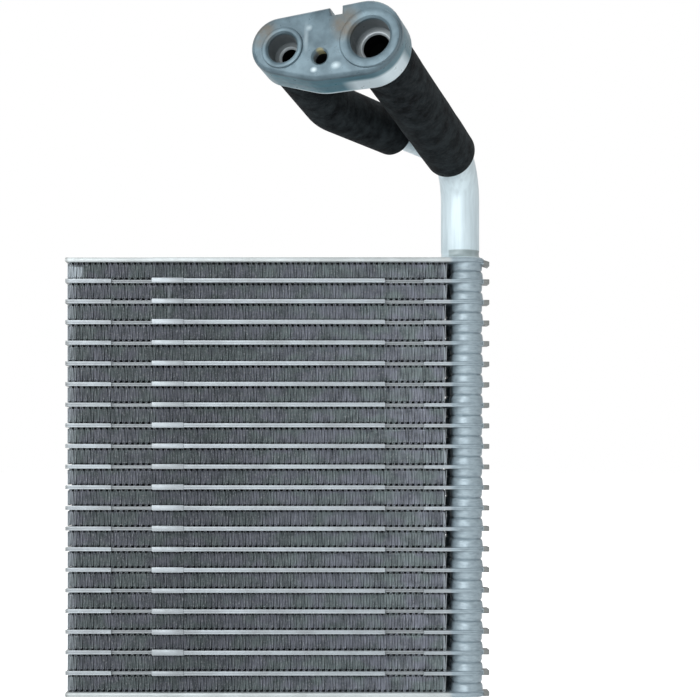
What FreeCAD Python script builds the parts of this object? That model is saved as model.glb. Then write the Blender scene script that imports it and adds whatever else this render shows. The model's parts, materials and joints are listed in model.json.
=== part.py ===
import FreeCAD
import Part

import math
import os
import re

import Sketcher

# Evaporator core of a car's air conditioning, laminated type, brazed aluminium.
# Stamped plate pairs lie level, with folded fins between them and both tanks at the right.
# Two pipes rise from the tanks and run forward to one connection block.
# Frame: X to the right, Y away from the viewer, Z up, origin at the middle of the underside.

# Each driving dimension has a name, a value in millimetres or degrees, and a note.
DIMENSIONS = (
    ("tube_count", 20, "plate pairs in the stack"),
    ("tube_pitch", 11.0, "from one plate pair to the next"),
    ("sheet_gauge", 0.9, "thickness of one stamped plate"),
    ("end_gauge", 2.4, "thickness of the top and bottom end plates"),
    ("core_width", 226.3, "over the tips of the plates"),
    ("core_depth", 65.0, "from the front lands to the back edges"),
    ("front_overhang", 3.5, "front lands beyond the fins"),
    ("heel_overhang", 1.3, "left-hand lands beyond the fins"),
    ("notch_overhang", 0.2, "notched stretches beyond the fins"),
    ("tank_overhang", 2.7, "tank-side lands beyond the fins"),
    ("back_overhang", 1.5, "back edges beyond the fins"),
    ("heel_length", 24.4, "left-hand land"),
    ("first_notch_length", 21.8, "notch right of the left-hand land"),
    ("front_land_length", 124.0, "long land in the middle"),
    ("second_notch_length", 20.8, "notch right of the long land"),
    ("top_set_back", 1.2, "end plates' front edges set back, left of the long land"),
    ("cup_width", 16.4, "tank cup where it leaves its plate"),
    ("cup_mouth_width", 14.6, "tank cup where it meets the next one"),
    ("cup_rim", 3.25, "flat rim of the plate outside the cup"),
    ("cup_web", 3.2, "between the front and the rear cup"),
    ("fin_gauge", 0.3, "thickness of the fin strip"),
    ("fin_folds", 12, "full folds in one strip, a coarse stand-in for the real ones"),
    ("fin_inset", 1.0, "left end of a strip from the plate tips"),
    ("fin_tank_gap", 3.0, "right end of a strip from the tank cups"),
    ("suction_diameter", 20.6, "outside of the large pipe"),
    ("suction_wall", 1.6, "wall of the large pipe"),
    ("suction_offset", 3.0, "large pipe left of the middle of its cup"),
    ("suction_corner", 50.7, "corner of the large pipe above the core"),
    ("suction_bend", 24.0, "bend radius of the large pipe"),
    ("suction_reach", 168.0, "from the corner to the face of the block"),
    ("liquid_diameter", 12.7, "outside of the small pipe"),
    ("liquid_wall", 1.4, "wall of the small pipe"),
    ("liquid_corner", 59.0, "corner of the small pipe above the core"),
    ("liquid_bend", 20.0, "bend radius of the small pipe at that corner"),
    ("liquid_run", 51.0, "from the back of the block to the small pipe's turn"),
    ("liquid_turn", 40.0, "radius of that turn"),
    ("bend_gores", 6, "mitres in a pipe's bend"),
    ("turn_gores", 2, "mitres in the small pipe's slight turn"),
    ("foot_flare", 1.9, "how far a pipe's foot stands out"),
    ("foot_height", 5.0, "height of a pipe's foot"),
    ("port_yaw_angle", 20.2, "the block's ports turned to the viewer's left"),
    ("port_pitch_angle", 11.5, "the block's ports tilted up"),
    ("port_roll_angle", 1.8, "the block turned about its ports"),
    ("port_spacing", 42.3, "between the two ports"),
    ("block_thickness", 20.0, "front face to back face"),
    ("suction_lobe", 17.9, "radius of the block's large end"),
    ("suction_lobe_left", 3.0, "middle of that end, left of the large port"),
    ("suction_lobe_up", 1.3, "middle of that end, above the large port"),
    ("liquid_lobe", 13.6, "radius of the block's small end"),
    ("liquid_lobe_left", 2.2, "middle of that end, left of the small port"),
    ("liquid_lobe_up", 2.2, "middle of that end, above the small port"),
    ("bolt_lobe", 10.9, "radius of the block round the bolt hole"),
    ("boss_height", 1.2, "raised rings round the ports"),
    ("suction_boss", 28.8, "diameter of the large raised ring"),
    ("liquid_boss", 20.0, "diameter of the small raised ring"),
    ("suction_port", 19.3, "bore of the large port"),
    ("suction_port_depth", 10.0, "depth of that bore below the block's face"),
    ("suction_throat", 13.4, "passage behind the large port"),
    ("liquid_port", 14.5, "bore of the small port"),
    ("liquid_port_depth", 10.5, "depth of that bore below the block's face"),
    ("liquid_throat", 7.6, "passage behind the small port"),
    ("bolt_diameter", 7.2, "bolt hole through the block"),
    ("bolt_along", 18.5, "bolt hole from the small port, along the block"),
    ("bolt_drop", 6.3, "bolt hole below the line of the ports"),
    ("notch_width", 6.3, "notch in the block's top edge"),
    ("notch_depth", 3.6, "depth of that notch"),
    ("notch_slope", 1.4, "how far the notch's left side slopes in"),
    ("notch_along", 22.2, "notch from the small port, along the block"),
    ("suction_foam", 3.0, "wall of the foam sleeve on the large pipe"),
    ("suction_foam_stop", 1.2, "far end of that sleeve from the large pipe's bend"),
    ("liquid_foam", 5.3, "wall of the foam sleeve on the small pipe"),
    ("liquid_foam_tail", 60.0, "that sleeve beyond the small pipe's turn"),
    ("foam_gap", 0.2, "clearance between a sleeve and what it touches"),
)

# Derived places and sizes, each a formula of the dimensions above.
FIN_HEIGHT = "(tube_pitch - 2 * sheet_gauge)"
CUP_HEIGHT = "(tube_pitch / 2 - sheet_gauge)"
STACK_HEIGHT = "(2 * end_gauge + tube_count * tube_pitch + tube_pitch - 2 * sheet_gauge)"
LEFT_TIP = "(-core_width / 2)"
FRONT_LAND = "(-core_depth / 2)"
BACK_EDGE = "(core_depth / 2)"
FIN_FRONT = "(front_overhang - core_depth / 2)"
FIN_BACK = "(core_depth / 2 - back_overhang)"
TANK_LAND = f"({FIN_FRONT} - tank_overhang)"
RIM_RADIUS = "(cup_width / 2 + cup_rim)"
CUP_X = f"(core_width / 2 - {RIM_RADIUS})"
FRONT_CUP_START = f"({TANK_LAND} + cup_rim)"
REAR_CUP_END = f"({BACK_EDGE} - cup_rim)"
FRONT_CUP_Y = f"(({FRONT_CUP_START} - cup_web / 2) / 2)"
REAR_CUP_Y = f"(({REAR_CUP_END} + cup_web / 2) / 2)"
FIN_LENGTH = f"({CUP_X} - cup_width / 2 - fin_tank_gap - {LEFT_TIP} - fin_inset)"
BOLT_X = "(bolt_along - port_spacing)"

# Two heights nearer than this, in millimetres, are the same.
SAME_HEIGHT = 0.01

doc = FreeCAD.newDocument("evaporator_core")
sizes = doc.addObject("Spreadsheet::Sheet", "Sizes")


def fill_sheet():
    """Write the driving dimensions into the sheet, one row each, with the name as the alias."""
    for row, (name, number, note) in enumerate(DIMENSIONS, start=1):
        sizes.set(f"A{row}", name)
        sizes.set(f"B{row}", str(number))
        sizes.set(f"C{row}", note)
        sizes.setAlias(f"B{row}", name)
    doc.recompute()


def cells(formula):
    """Turn the names of dimensions in a formula into references to the sheet."""
    return re.sub(r"[a-z]+(?:_[a-z]+)+", lambda found: "Sizes." + found.group(), str(formula))


def value(formula):
    """The number that a formula of the dimensions gives now."""
    return float(sizes.evalExpression(cells(formula)))


def bind(thing, prop, formula):
    """Bind a property of an object to a formula of the dimensions."""
    thing.setExpression(prop, cells(formula))


def plane(body, role):
    """A body's own origin plane."""
    return next(item for item in body.Origin.OriginFeatures if item.Role == role)


def new_body(name):
    """An empty body."""
    return doc.addObject("PartDesign::Body", name)


def new_sketch(body, name, role="XY_Plane", height=0):
    """A sketch on one of the body's origin planes, lifted along its normal by a formula."""
    sketch = body.newObject("Sketcher::SketchObject", name)
    sketch.AttachmentSupport = [(plane(body, role), "")]
    sketch.MapMode = "FlatFace"
    bind(sketch, "AttachmentOffset.Base.z", height)
    return sketch


def add_outline(sketch, corners):
    """Draw a closed outline of straight lines, with both coordinates of each corner bound."""
    points = [FreeCAD.Vector(value(x), value(y), 0) for x, y in corners]
    first = sketch.GeometryCount
    count = len(points)
    for index, point in enumerate(points):
        sketch.addGeometry(Part.LineSegment(point, points[(index + 1) % count]), False)
    for index in range(count):
        following = first + (index + 1) % count
        sketch.addConstraint(Sketcher.Constraint("Coincident", first + index, 2, following, 1))
    for index, (x, y) in enumerate(corners):
        for kind, formula in (("DistanceX", x), ("DistanceY", y)):
            pin = Sketcher.Constraint(kind, -1, 1, first + index, 1, value(formula))
            number = sketch.addConstraint(pin)
            bind(sketch, f"Constraints[{number}]", formula)


def add_circle(sketch, x, y, diameter):
    """Draw a circle with its middle and its diameter bound."""
    middle = FreeCAD.Vector(value(x), value(y), 0)
    circle = Part.Circle(middle, FreeCAD.Vector(0, 0, 1), value(diameter) / 2)
    geo = sketch.addGeometry(circle, False)
    for kind, formula in (("DistanceX", x), ("DistanceY", y)):
        number = sketch.addConstraint(Sketcher.Constraint(kind, -1, 1, geo, 3, value(formula)))
        bind(sketch, f"Constraints[{number}]", formula)
    number = sketch.addConstraint(Sketcher.Constraint("Diameter", geo, value(diameter)))
    bind(sketch, f"Constraints[{number}]", diameter)


def add_pad(body, sketch, name, length, reverse=False):
    """Raise a sketch into a solid by a bound length."""
    pad = body.newObject("PartDesign::Pad", name)
    pad.Profile = sketch
    bind(pad, "Length", length)
    pad.Reversed = reverse
    doc.recompute()
    return pad


def add_pocket(body, sketch, name, length):
    """Cut a sketch into the solid by a bound length, against the sketch's normal."""
    before = body.Shape.Volume
    pocket = body.newObject("PartDesign::Pocket", name)
    pocket.Profile = sketch
    bind(pocket, "Length", length)
    doc.recompute()
    if body.Shape.Volume >= before:
        raise RuntimeError(f"{name} cut nothing")
    return pocket


def cup_outline(start, end):
    """A long cup seen from above: round ends of three facets each, which touch the true arcs."""
    half = "(cup_width / 2)"
    facet = f"({half} * tan(22.5))"
    near = f"({start} + {half} - {facet})"
    far = f"({end} - {half} + {facet})"
    return (
        (f"{CUP_X} - {facet}", start),
        (f"{CUP_X} + {facet}", start),
        (f"{CUP_X} + {half}", near),
        (f"{CUP_X} + {half}", far),
        (f"{CUP_X} + {facet}", end),
        (f"{CUP_X} - {facet}", end),
        (f"{CUP_X} - {half}", far),
        (f"{CUP_X} - {half}", near),
    )


def tank_end(front):
    """The four corners where a plate's outline runs round its tank cups."""
    facet = f"({RIM_RADIUS} * tan(22.5))"
    return (
        (f"{CUP_X} + {facet}", front),
        ("core_width / 2", f"{front} + {RIM_RADIUS} - {facet}"),
        ("core_width / 2", f"{BACK_EDGE} - {RIM_RADIUS} + {facet}"),
        (f"{CUP_X} + {facet}", BACK_EDGE),
    )


def add_cups(body, base):
    """Draw the front and the rear tank cup up from a plate, narrowing to their mouths."""
    spans = {
        "front": (FRONT_CUP_START, "(-cup_web / 2)"),
        "rear": ("(cup_web / 2)", REAR_CUP_END),
    }
    for side, (start, end) in spans.items():
        sketch = new_sketch(body, f"{body.Name}_{side}_cup_outline", height=base)
        add_outline(sketch, cup_outline(start, end))
        cups = add_pad(body, sketch, f"{body.Name}_{side}_cup", CUP_HEIGHT)
    floor = value(base)
    middle = floor + value(CUP_HEIGHT) / 2
    walls = []
    for number, face in enumerate(cups.Shape.Faces, start=1):
        height = face.BoundBox.Center.z
        if abs(height - middle) < SAME_HEIGHT:
            walls.append(f"Face{number}")
        elif abs(height - floor) < SAME_HEIGHT:
            land = f"Face{number}"
    slope = body.newObject("PartDesign::Draft", f"{body.Name}_cup_slope")
    slope.Base = (cups, walls)
    slope.NeutralPlane = (cups, [land])
    bind(slope, "Angle", f"atan((cup_width - cup_mouth_width) / 2 / {CUP_HEIGHT})")
    doc.recompute()
    if body.Shape.Volume >= cups.Shape.Volume:
        raise RuntimeError(f"the cups of {body.Name} don't narrow")


def make_tube_plate():
    """The upper plate of a pair: a notched sheet with two cups, lying on the pair's middle plane."""
    body = new_body("tube_plate")
    notch = f"({FIN_FRONT} - notch_overhang)"
    heel = f"({FIN_FRONT} - heel_overhang)"
    first = f"({LEFT_TIP} + heel_length)"
    second = f"({first} + first_notch_length)"
    third = f"({second} + front_land_length)"
    fourth = f"({third} + second_notch_length)"
    corners = (
        (LEFT_TIP, heel),
        (first, heel),
        (first, notch),
        (second, notch),
        (second, FRONT_LAND),
        (third, FRONT_LAND),
        (third, notch),
        (fourth, notch),
        (fourth, TANK_LAND),
        *tank_end(TANK_LAND),
        (LEFT_TIP, BACK_EDGE),
    )
    sketch = new_sketch(body, "tube_plate_outline")
    add_outline(sketch, corners)
    add_pad(body, sketch, "tube_plate_sheet", "sheet_gauge")
    add_cups(body, "sheet_gauge")
    return body


def make_end_plate():
    """An end plate, as it lies under the core: a stepped sheet with two cups that point inwards."""
    body = new_body("end_plate")
    step = f"({LEFT_TIP} + heel_length + first_notch_length)"
    back = f"({FRONT_LAND} + top_set_back)"
    corners = (
        (LEFT_TIP, back),
        (step, back),
        (step, FRONT_LAND),
        *tank_end(FRONT_LAND),
        (LEFT_TIP, BACK_EDGE),
    )
    sketch = new_sketch(body, "end_plate_outline")
    add_outline(sketch, corners)
    add_pad(body, sketch, "end_plate_sheet", "end_gauge")
    add_cups(body, "end_gauge")
    return body


def make_fin():
    """One fin strip: a fold drawn once, as deep as the core, and repeated along the row."""
    body = new_body("fin_strip")
    pitch = f"({FIN_LENGTH} / fin_folds)"
    rise = FIN_HEIGHT
    # Measured upright, a sloping leg is thicker than the strip that it is folded from.
    leg = f"(fin_gauge * sqrt(1 + pow(2 * {rise} / {pitch}; 2)))"
    start = f"({LEFT_TIP} + fin_inset)"
    corners = (
        (start, 0),
        (f"{start} + {pitch} / 2", f"{rise} - {leg}"),
        (f"{start} + {pitch}", 0),
        (f"{start} + {pitch}", leg),
        (f"{start} + {pitch} / 2", rise),
        (start, leg),
    )
    sketch = new_sketch(body, "fold_outline", "XZ_Plane", f"-{FIN_FRONT}")
    add_outline(sketch, corners)
    fold = add_pad(body, sketch, "fold", f"{FIN_BACK} - {FIN_FRONT}", reverse=True)
    row = body.newObject("PartDesign::LinearPattern", "folds")
    row.Originals = [fold]
    row.Direction = (sketch, ["H_Axis"])
    row.Mode = "Spacing"
    bind(row, "Offset", pitch)
    bind(row, "Occurrences", "fin_folds")
    body.Tip = row
    doc.recompute()
    return body


def place_copy(name, sources, height):
    """A node of the core: the given solids, lifted to their own height in the stack."""
    copy = doc.addObject("Part::Compound", name)
    copy.Label = name
    copy.Links = sources
    bind(copy, "Placement.Base.z", height)
    return copy


def mirrored(name, source):
    """The same piece turned over about its own base plane."""
    other = doc.addObject("Part::Mirroring", name)
    other.Source = source
    other.Normal = FreeCAD.Vector(0, 0, 1)
    return other


def make_stack():
    """Stack end plates, plate pairs and fin strips from the bottom up."""
    fin = make_fin()
    upper = make_tube_plate()
    lower = mirrored("tube_plate_turned", upper)
    end = make_end_plate()
    turned_end = mirrored("end_plate_turned", end)
    tubes = int(value("tube_count"))
    nodes = [place_copy("bottom_end_plate", [end], 0)]
    for row in range(tubes + 1):
        nodes.append(place_copy(f"fin_{row + 1:02d}", [fin], f"end_gauge + {row} * tube_pitch"))
    for row in range(tubes):
        height = f"end_gauge + {row + 1} * tube_pitch - sheet_gauge"
        nodes.append(place_copy(f"tube_plates_{row + 1:02d}", [upper, lower], height))
    nodes.append(place_copy("top_end_plate", [turned_end], STACK_HEIGHT))
    return nodes


def port_rotation():
    """How the block is turned: its X along the ports, its Y into the block, its Z up."""
    yaw = FreeCAD.Rotation(FreeCAD.Vector(0, 0, 1), -value("port_yaw_angle"))
    pitch = FreeCAD.Rotation(FreeCAD.Vector(1, 0, 0), -value("port_pitch_angle"))
    roll = FreeCAD.Rotation(FreeCAD.Vector(0, 1, 0), -value("port_roll_angle"))
    return yaw * pitch * roll


def port_places():
    """The suction pipe's corner, the face of each port, and the way into the block."""
    turn = port_rotation()
    inward = turn * FreeCAD.Vector(0, 1, 0)
    top = value(STACK_HEIGHT)
    x = value(f"{CUP_X} - suction_offset")
    corner = FreeCAD.Vector(x, value(FRONT_CUP_Y), top + value("suction_corner"))
    suction = corner - inward * value("suction_reach")
    liquid = suction - turn * FreeCAD.Vector(value("port_spacing"), 0, 0)
    return corner, suction, liquid, inward


def add_lobed_outline(sketch, lobes):
    """Draw the outline that wraps round some circles, each given by x, y and radius, anticlockwise."""
    middles = [FreeCAD.Vector(value(x), value(y), 0) for x, y, _ in lobes]
    radii = [value(radius) for _, _, radius in lobes]
    count = len(lobes)
    normals = []
    for index in range(count):
        following = (index + 1) % count
        along = middles[following] - middles[index]
        lean = (radii[index] - radii[following]) / along.Length
        along.normalize()
        outward = FreeCAD.Vector(along.y, -along.x, 0)
        normals.append(along * lean + outward * math.sqrt(1 - lean * lean))
    for index, (middle, radius) in enumerate(zip(middles, radii)):
        following = (index + 1) % count
        enter = normals[index - 1]
        leave = normals[index]
        first = math.atan2(enter.y, enter.x)
        sweep = (math.atan2(leave.y, leave.x) - first) % (2 * math.pi)
        circle = Part.Circle(middle, FreeCAD.Vector(0, 0, 1), radius)
        sketch.addGeometry(Part.ArcOfCircle(circle, first, first + sweep), False)
        far = middles[following] + leave * radii[following]
        sketch.addGeometry(Part.LineSegment(middle + leave * radius, far), False)
    edges = 2 * count
    for index in range(edges):
        sketch.addConstraint(Sketcher.Constraint("Tangent", index, 2, (index + 1) % edges, 1))
    for index, (x, y, radius) in enumerate(lobes):
        arc = 2 * index
        pins = (
            (Sketcher.Constraint("DistanceX", -1, 1, arc, 3, value(x)), x),
            (Sketcher.Constraint("DistanceY", -1, 1, arc, 3, value(y)), y),
            (Sketcher.Constraint("Radius", arc, value(radius)), radius),
        )
        for pin, formula in pins:
            number = sketch.addConstraint(pin)
            bind(sketch, f"Constraints[{number}]", formula)


def make_block():
    """The connection block, in its own frame: the large port's face is the origin."""
    body = new_body("connection_block")
    body.Label = "connection_block"
    sketch = new_sketch(body, "block_outline", "XZ_Plane")
    lobes = (
        ("-suction_lobe_left", "suction_lobe_up", "suction_lobe"),
        ("-port_spacing - liquid_lobe_left", "liquid_lobe_up", "liquid_lobe"),
        (BOLT_X, "-bolt_drop", "bolt_lobe"),
    )
    add_lobed_outline(sketch, lobes)
    add_pad(body, sketch, "block_body", "block_thickness", reverse=True)
    for name, x, diameter in (("suction", 0, "suction_boss"), ("liquid", "-port_spacing", "liquid_boss")):
        sketch = new_sketch(body, f"{name}_boss_outline", "XZ_Plane")
        add_circle(sketch, x, 0, diameter)
        add_pad(body, sketch, f"{name}_boss", "boss_height")
    add_bores(body)
    add_top_notch(body)
    suction = port_places()[1]
    body.Placement = FreeCAD.Placement(suction, port_rotation())
    doc.recompute()
    return body


def add_bores(body):
    """The two ports, the narrower passages behind them and the bolt hole."""
    through = "block_thickness + boss_height"
    bores = (
        ("suction_port", 0, 0, "boss_height", "suction_port", "suction_port_depth + boss_height"),
        ("suction_throat", 0, 0, "boss_height", "suction_throat", through),
        ("liquid_port", "-port_spacing", 0, "boss_height", "liquid_port", "liquid_port_depth + boss_height"),
        ("liquid_throat", "-port_spacing", 0, "boss_height", "liquid_throat", through),
        ("bolt_hole", BOLT_X, "-bolt_drop", 0, "bolt_diameter", "block_thickness"),
    )
    for name, x, y, height, diameter, depth in bores:
        sketch = new_sketch(body, f"{name}_outline", "XZ_Plane", height)
        add_circle(sketch, x, y, diameter)
        add_pocket(body, sketch, name, depth)


def add_top_notch(body):
    """The notch in the block's top edge: its left side slopes in and its right side is upright."""
    left = "(notch_along - port_spacing)"
    right = f"({left} + notch_width)"
    small_top = "(liquid_lobe_up + liquid_lobe)"
    large_top = "(suction_lobe_up + suction_lobe)"
    between = "(port_spacing - suction_lobe_left + liquid_lobe_left)"
    share = f"((notch_along + liquid_lobe_left) / {between})"
    floor = f"({small_top} + ({large_top} - {small_top}) * {share} - notch_depth)"
    above = f"({floor} + 2 * notch_depth)"
    corners = (
        (f"{left} + notch_slope", floor),
        (right, floor),
        (right, above),
        (f"{left} - notch_slope", above),
    )
    sketch = new_sketch(body, "notch_outline", "XZ_Plane")
    add_outline(sketch, corners)
    add_pocket(body, sketch, "top_notch", "block_thickness")


def bend_reach(before, corner, after, radius):
    """How far from its corner a bend of the given radius starts."""
    half = (before - corner).getAngle(after - corner) / 2
    return radius / math.tan(half)


def mitred_route(points, bends):
    """A wire through points, with each inner corner eased by mitres that follow its bend."""
    path = [points[0]]
    for before, corner, after, (radius, gores) in zip(points, points[1:], points[2:], bends):
        back = (before - corner).normalize()
        ahead = (after - corner).normalize()
        half = back.getAngle(ahead) / 2
        centre = corner + (back + ahead).normalize() * (radius / math.sin(half))
        spoke = corner + back * bend_reach(before, corner, after, radius) - centre
        step = (math.pi - 2 * half) / gores
        for gore in range(gores):
            angle = (gore + 0.5) * step
            out = spoke * math.cos(angle) - back * (radius * math.sin(angle))
            path.append(centre + out * (1 / math.cos(step / 2)))
    path.append(points[-1])
    return Part.makePolygon(path)


def swept(route, radius):
    """A round bar along a route of straight runs, mitred where they meet."""
    start, following = (vertex.Point for vertex in route.OrderedVertexes[:2])
    ring = Part.Wire([Part.Circle(start, following - start, radius).toShape()])
    return route.makePipeShell([ring], True, False, 1)


def rod(start, direction, radius, length):
    """A straight round bar."""
    return Part.makeCylinder(radius, length, start, direction)


def foot(start, radius):
    """The flared foot that a pipe stands on, sloping in to the pipe."""
    up = FreeCAD.Vector(0, 0, 1)
    return Part.makeCone(radius + value("foot_flare"), radius, value("foot_height"), start, up)


def add_shape(name, shape):
    """A node whose shape is worked out here, with its own placement."""
    feature = doc.addObject("Part::Feature", name)
    feature.Label = name
    feature.Shape = shape.removeSplitter()
    feature.Placement = FreeCAD.Placement()
    return feature


def make_suction_line():
    """The large pipe from the front tank to the block, and the foam sleeve on its long run."""
    corner, suction, _, inward = port_places()
    radius = value("suction_diameter / 2")
    base = FreeCAD.Vector(corner.x, corner.y, value(STACK_HEIGHT))
    back = suction + inward * value("block_thickness")
    bend = value("suction_bend")
    route = mitred_route([base, corner, back], [(bend, int(value("bend_gores")))])
    pipe = swept(route, radius).fuse(foot(base, radius))
    straight = back.distanceToPoint(corner) - bend_reach(base, corner, back, bend)
    pipe = pipe.cut(rod(back, inward, radius - value("suction_wall"), straight))
    gap = value("foam_gap")
    start = back + inward * gap
    length = straight - gap - value("suction_foam_stop")
    foam = rod(start, inward, radius + gap + value("suction_foam"), length)
    foam = foam.cut(rod(start, inward, radius + gap, length))
    return [add_shape("suction_pipe", pipe), add_shape("suction_foam_sleeve", foam)]


def make_liquid_line():
    """The small pipe from the rear tank to the block, and the foam sleeve round its turn."""
    _, _, liquid, inward = port_places()
    radius = value("liquid_diameter / 2")
    base = FreeCAD.Vector(value(CUP_X), value(REAR_CUP_Y), value(STACK_HEIGHT))
    corner = base + FreeCAD.Vector(0, 0, value("liquid_corner"))
    back = liquid + inward * value("block_thickness")
    turn = back + inward * value("liquid_run")
    easy = (value("liquid_turn"), int(value("turn_gores")))
    bends = [(value("liquid_bend"), int(value("bend_gores"))), easy]
    pipe = swept(mitred_route([base, corner, turn, back], bends), radius).fuse(foot(base, radius))
    straight = back.distanceToPoint(turn) - bend_reach(corner, turn, back, easy[0])
    pipe = pipe.cut(rod(back, inward, radius - value("liquid_wall"), straight))
    gap = value("foam_gap")
    start = back + inward * gap
    tail = turn + (corner - turn).normalize() * value("liquid_foam_tail")
    sleeve_route = mitred_route([start, turn, tail], [easy])
    foam = swept(sleeve_route, radius + gap + value("liquid_foam"))
    foam = foam.cut(swept(sleeve_route, radius + gap))
    return [add_shape("liquid_pipe", pipe), add_shape("liquid_foam_sleeve", foam)]


def check_document():
    """Stop if any object of the document failed."""
    for thing in doc.Objects:
        if "Invalid" in thing.State or "Error" in thing.State:
            raise RuntimeError(f"{thing.Name} failed: {thing.State}")


def write_nodes(nodes):
    """Test each node's shape and write it to its own file."""
    os.makedirs("parts", exist_ok=True)
    for node in nodes:
        shape = node.Shape
        if shape.isNull() or not shape.isValid():
            raise RuntimeError(f"{node.Label} has no valid shape")
        shape.exportStep(f"parts/{node.Label}.step")
        print(f"{node.Label}: {len(shape.Solids)} solids, {shape.Volume:.0f} mm3")


fill_sheet()
all_nodes = make_stack()
all_nodes.append(make_block())
all_nodes += make_suction_line()
all_nodes += make_liquid_line()
doc.recompute()
check_document()
write_nodes(all_nodes)
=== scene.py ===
import json
import logging
import math
from dataclasses import dataclass
from enum import Enum

import bmesh
import bpy
from mathutils import Matrix, Vector, noise


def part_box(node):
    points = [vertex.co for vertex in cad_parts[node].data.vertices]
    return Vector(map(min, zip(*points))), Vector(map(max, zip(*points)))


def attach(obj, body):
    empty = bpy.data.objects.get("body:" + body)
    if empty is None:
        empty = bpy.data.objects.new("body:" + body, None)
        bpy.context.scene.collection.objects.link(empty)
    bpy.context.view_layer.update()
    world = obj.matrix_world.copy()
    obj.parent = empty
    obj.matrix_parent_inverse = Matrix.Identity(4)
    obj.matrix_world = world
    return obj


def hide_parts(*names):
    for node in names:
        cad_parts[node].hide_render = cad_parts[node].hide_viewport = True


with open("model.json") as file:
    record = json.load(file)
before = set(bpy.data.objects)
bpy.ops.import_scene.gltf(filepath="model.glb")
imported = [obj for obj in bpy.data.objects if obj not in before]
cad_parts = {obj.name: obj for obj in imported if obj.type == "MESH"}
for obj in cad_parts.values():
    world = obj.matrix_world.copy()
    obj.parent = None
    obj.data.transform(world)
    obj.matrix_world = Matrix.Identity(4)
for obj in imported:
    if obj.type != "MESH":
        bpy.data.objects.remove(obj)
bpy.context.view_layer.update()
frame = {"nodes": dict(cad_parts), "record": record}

# Evaporator core of a car's air conditioning, dressed for its picture.
# All lengths are in metres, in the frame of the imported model: X to the right, Y away, Z up.

MM = 0.001
TURN = 2 * math.pi
UP = Vector((0, 0, 1))
LEVEL = Matrix.Identity(4)
WHITE = (1.0, 1.0, 1.0, 1.0)
DOUBLED = 0.01 * MM
# Where in the noise the fins' unevenness is read.
SEED = 7
Triple = tuple[float, float, float]
Colour = Triple
Span = tuple[float, float]
Profile = list[tuple[float, float]]
Geometry = list[bmesh.types.BMVert | bmesh.types.BMEdge | bmesh.types.BMFace]
Edges = list[bmesh.types.BMEdge]
Socket = bpy.types.NodeSocket
Values = dict[str, float | Triple]
log = logging.getLogger("evaporator")


def record_mount(name: str) -> dict:
    """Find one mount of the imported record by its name."""
    return next(mount for mount in frame["record"]["mounts"] if mount["name"] == name)


def smoothstep(low: float, high: float, number: float) -> float:
    """Ease a number from 0 at low to 1 at high."""
    share = min(1.0, max(0.0, (number - low) / (high - low)))
    return share * share * (3 - 2 * share)


def verts_of(geometry: Geometry) -> list[bmesh.types.BMVert]:
    """Pick the vertices out of what an operator made."""
    return [item for item in geometry if isinstance(item, bmesh.types.BMVert)]


def edges_among(geometry: Geometry) -> Edges:
    """Pick the edges out of what an operator made, without those that lead back to where it began.

    Args:
        geometry: What the operator made.

    Returns:
        The edges.
    """
    verts = set(verts_of(geometry))
    edges = [item for item in geometry if isinstance(item, bmesh.types.BMEdge)]
    return [edge for edge in edges if verts.issuperset(edge.verts)]


def edges_at(verts: list[bmesh.types.BMVert]) -> Edges:
    """Gather the edges that meet some vertices, each edge once and in the same order in each run."""
    return list(dict.fromkeys(edge for vert in verts for edge in vert.link_edges))


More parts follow.
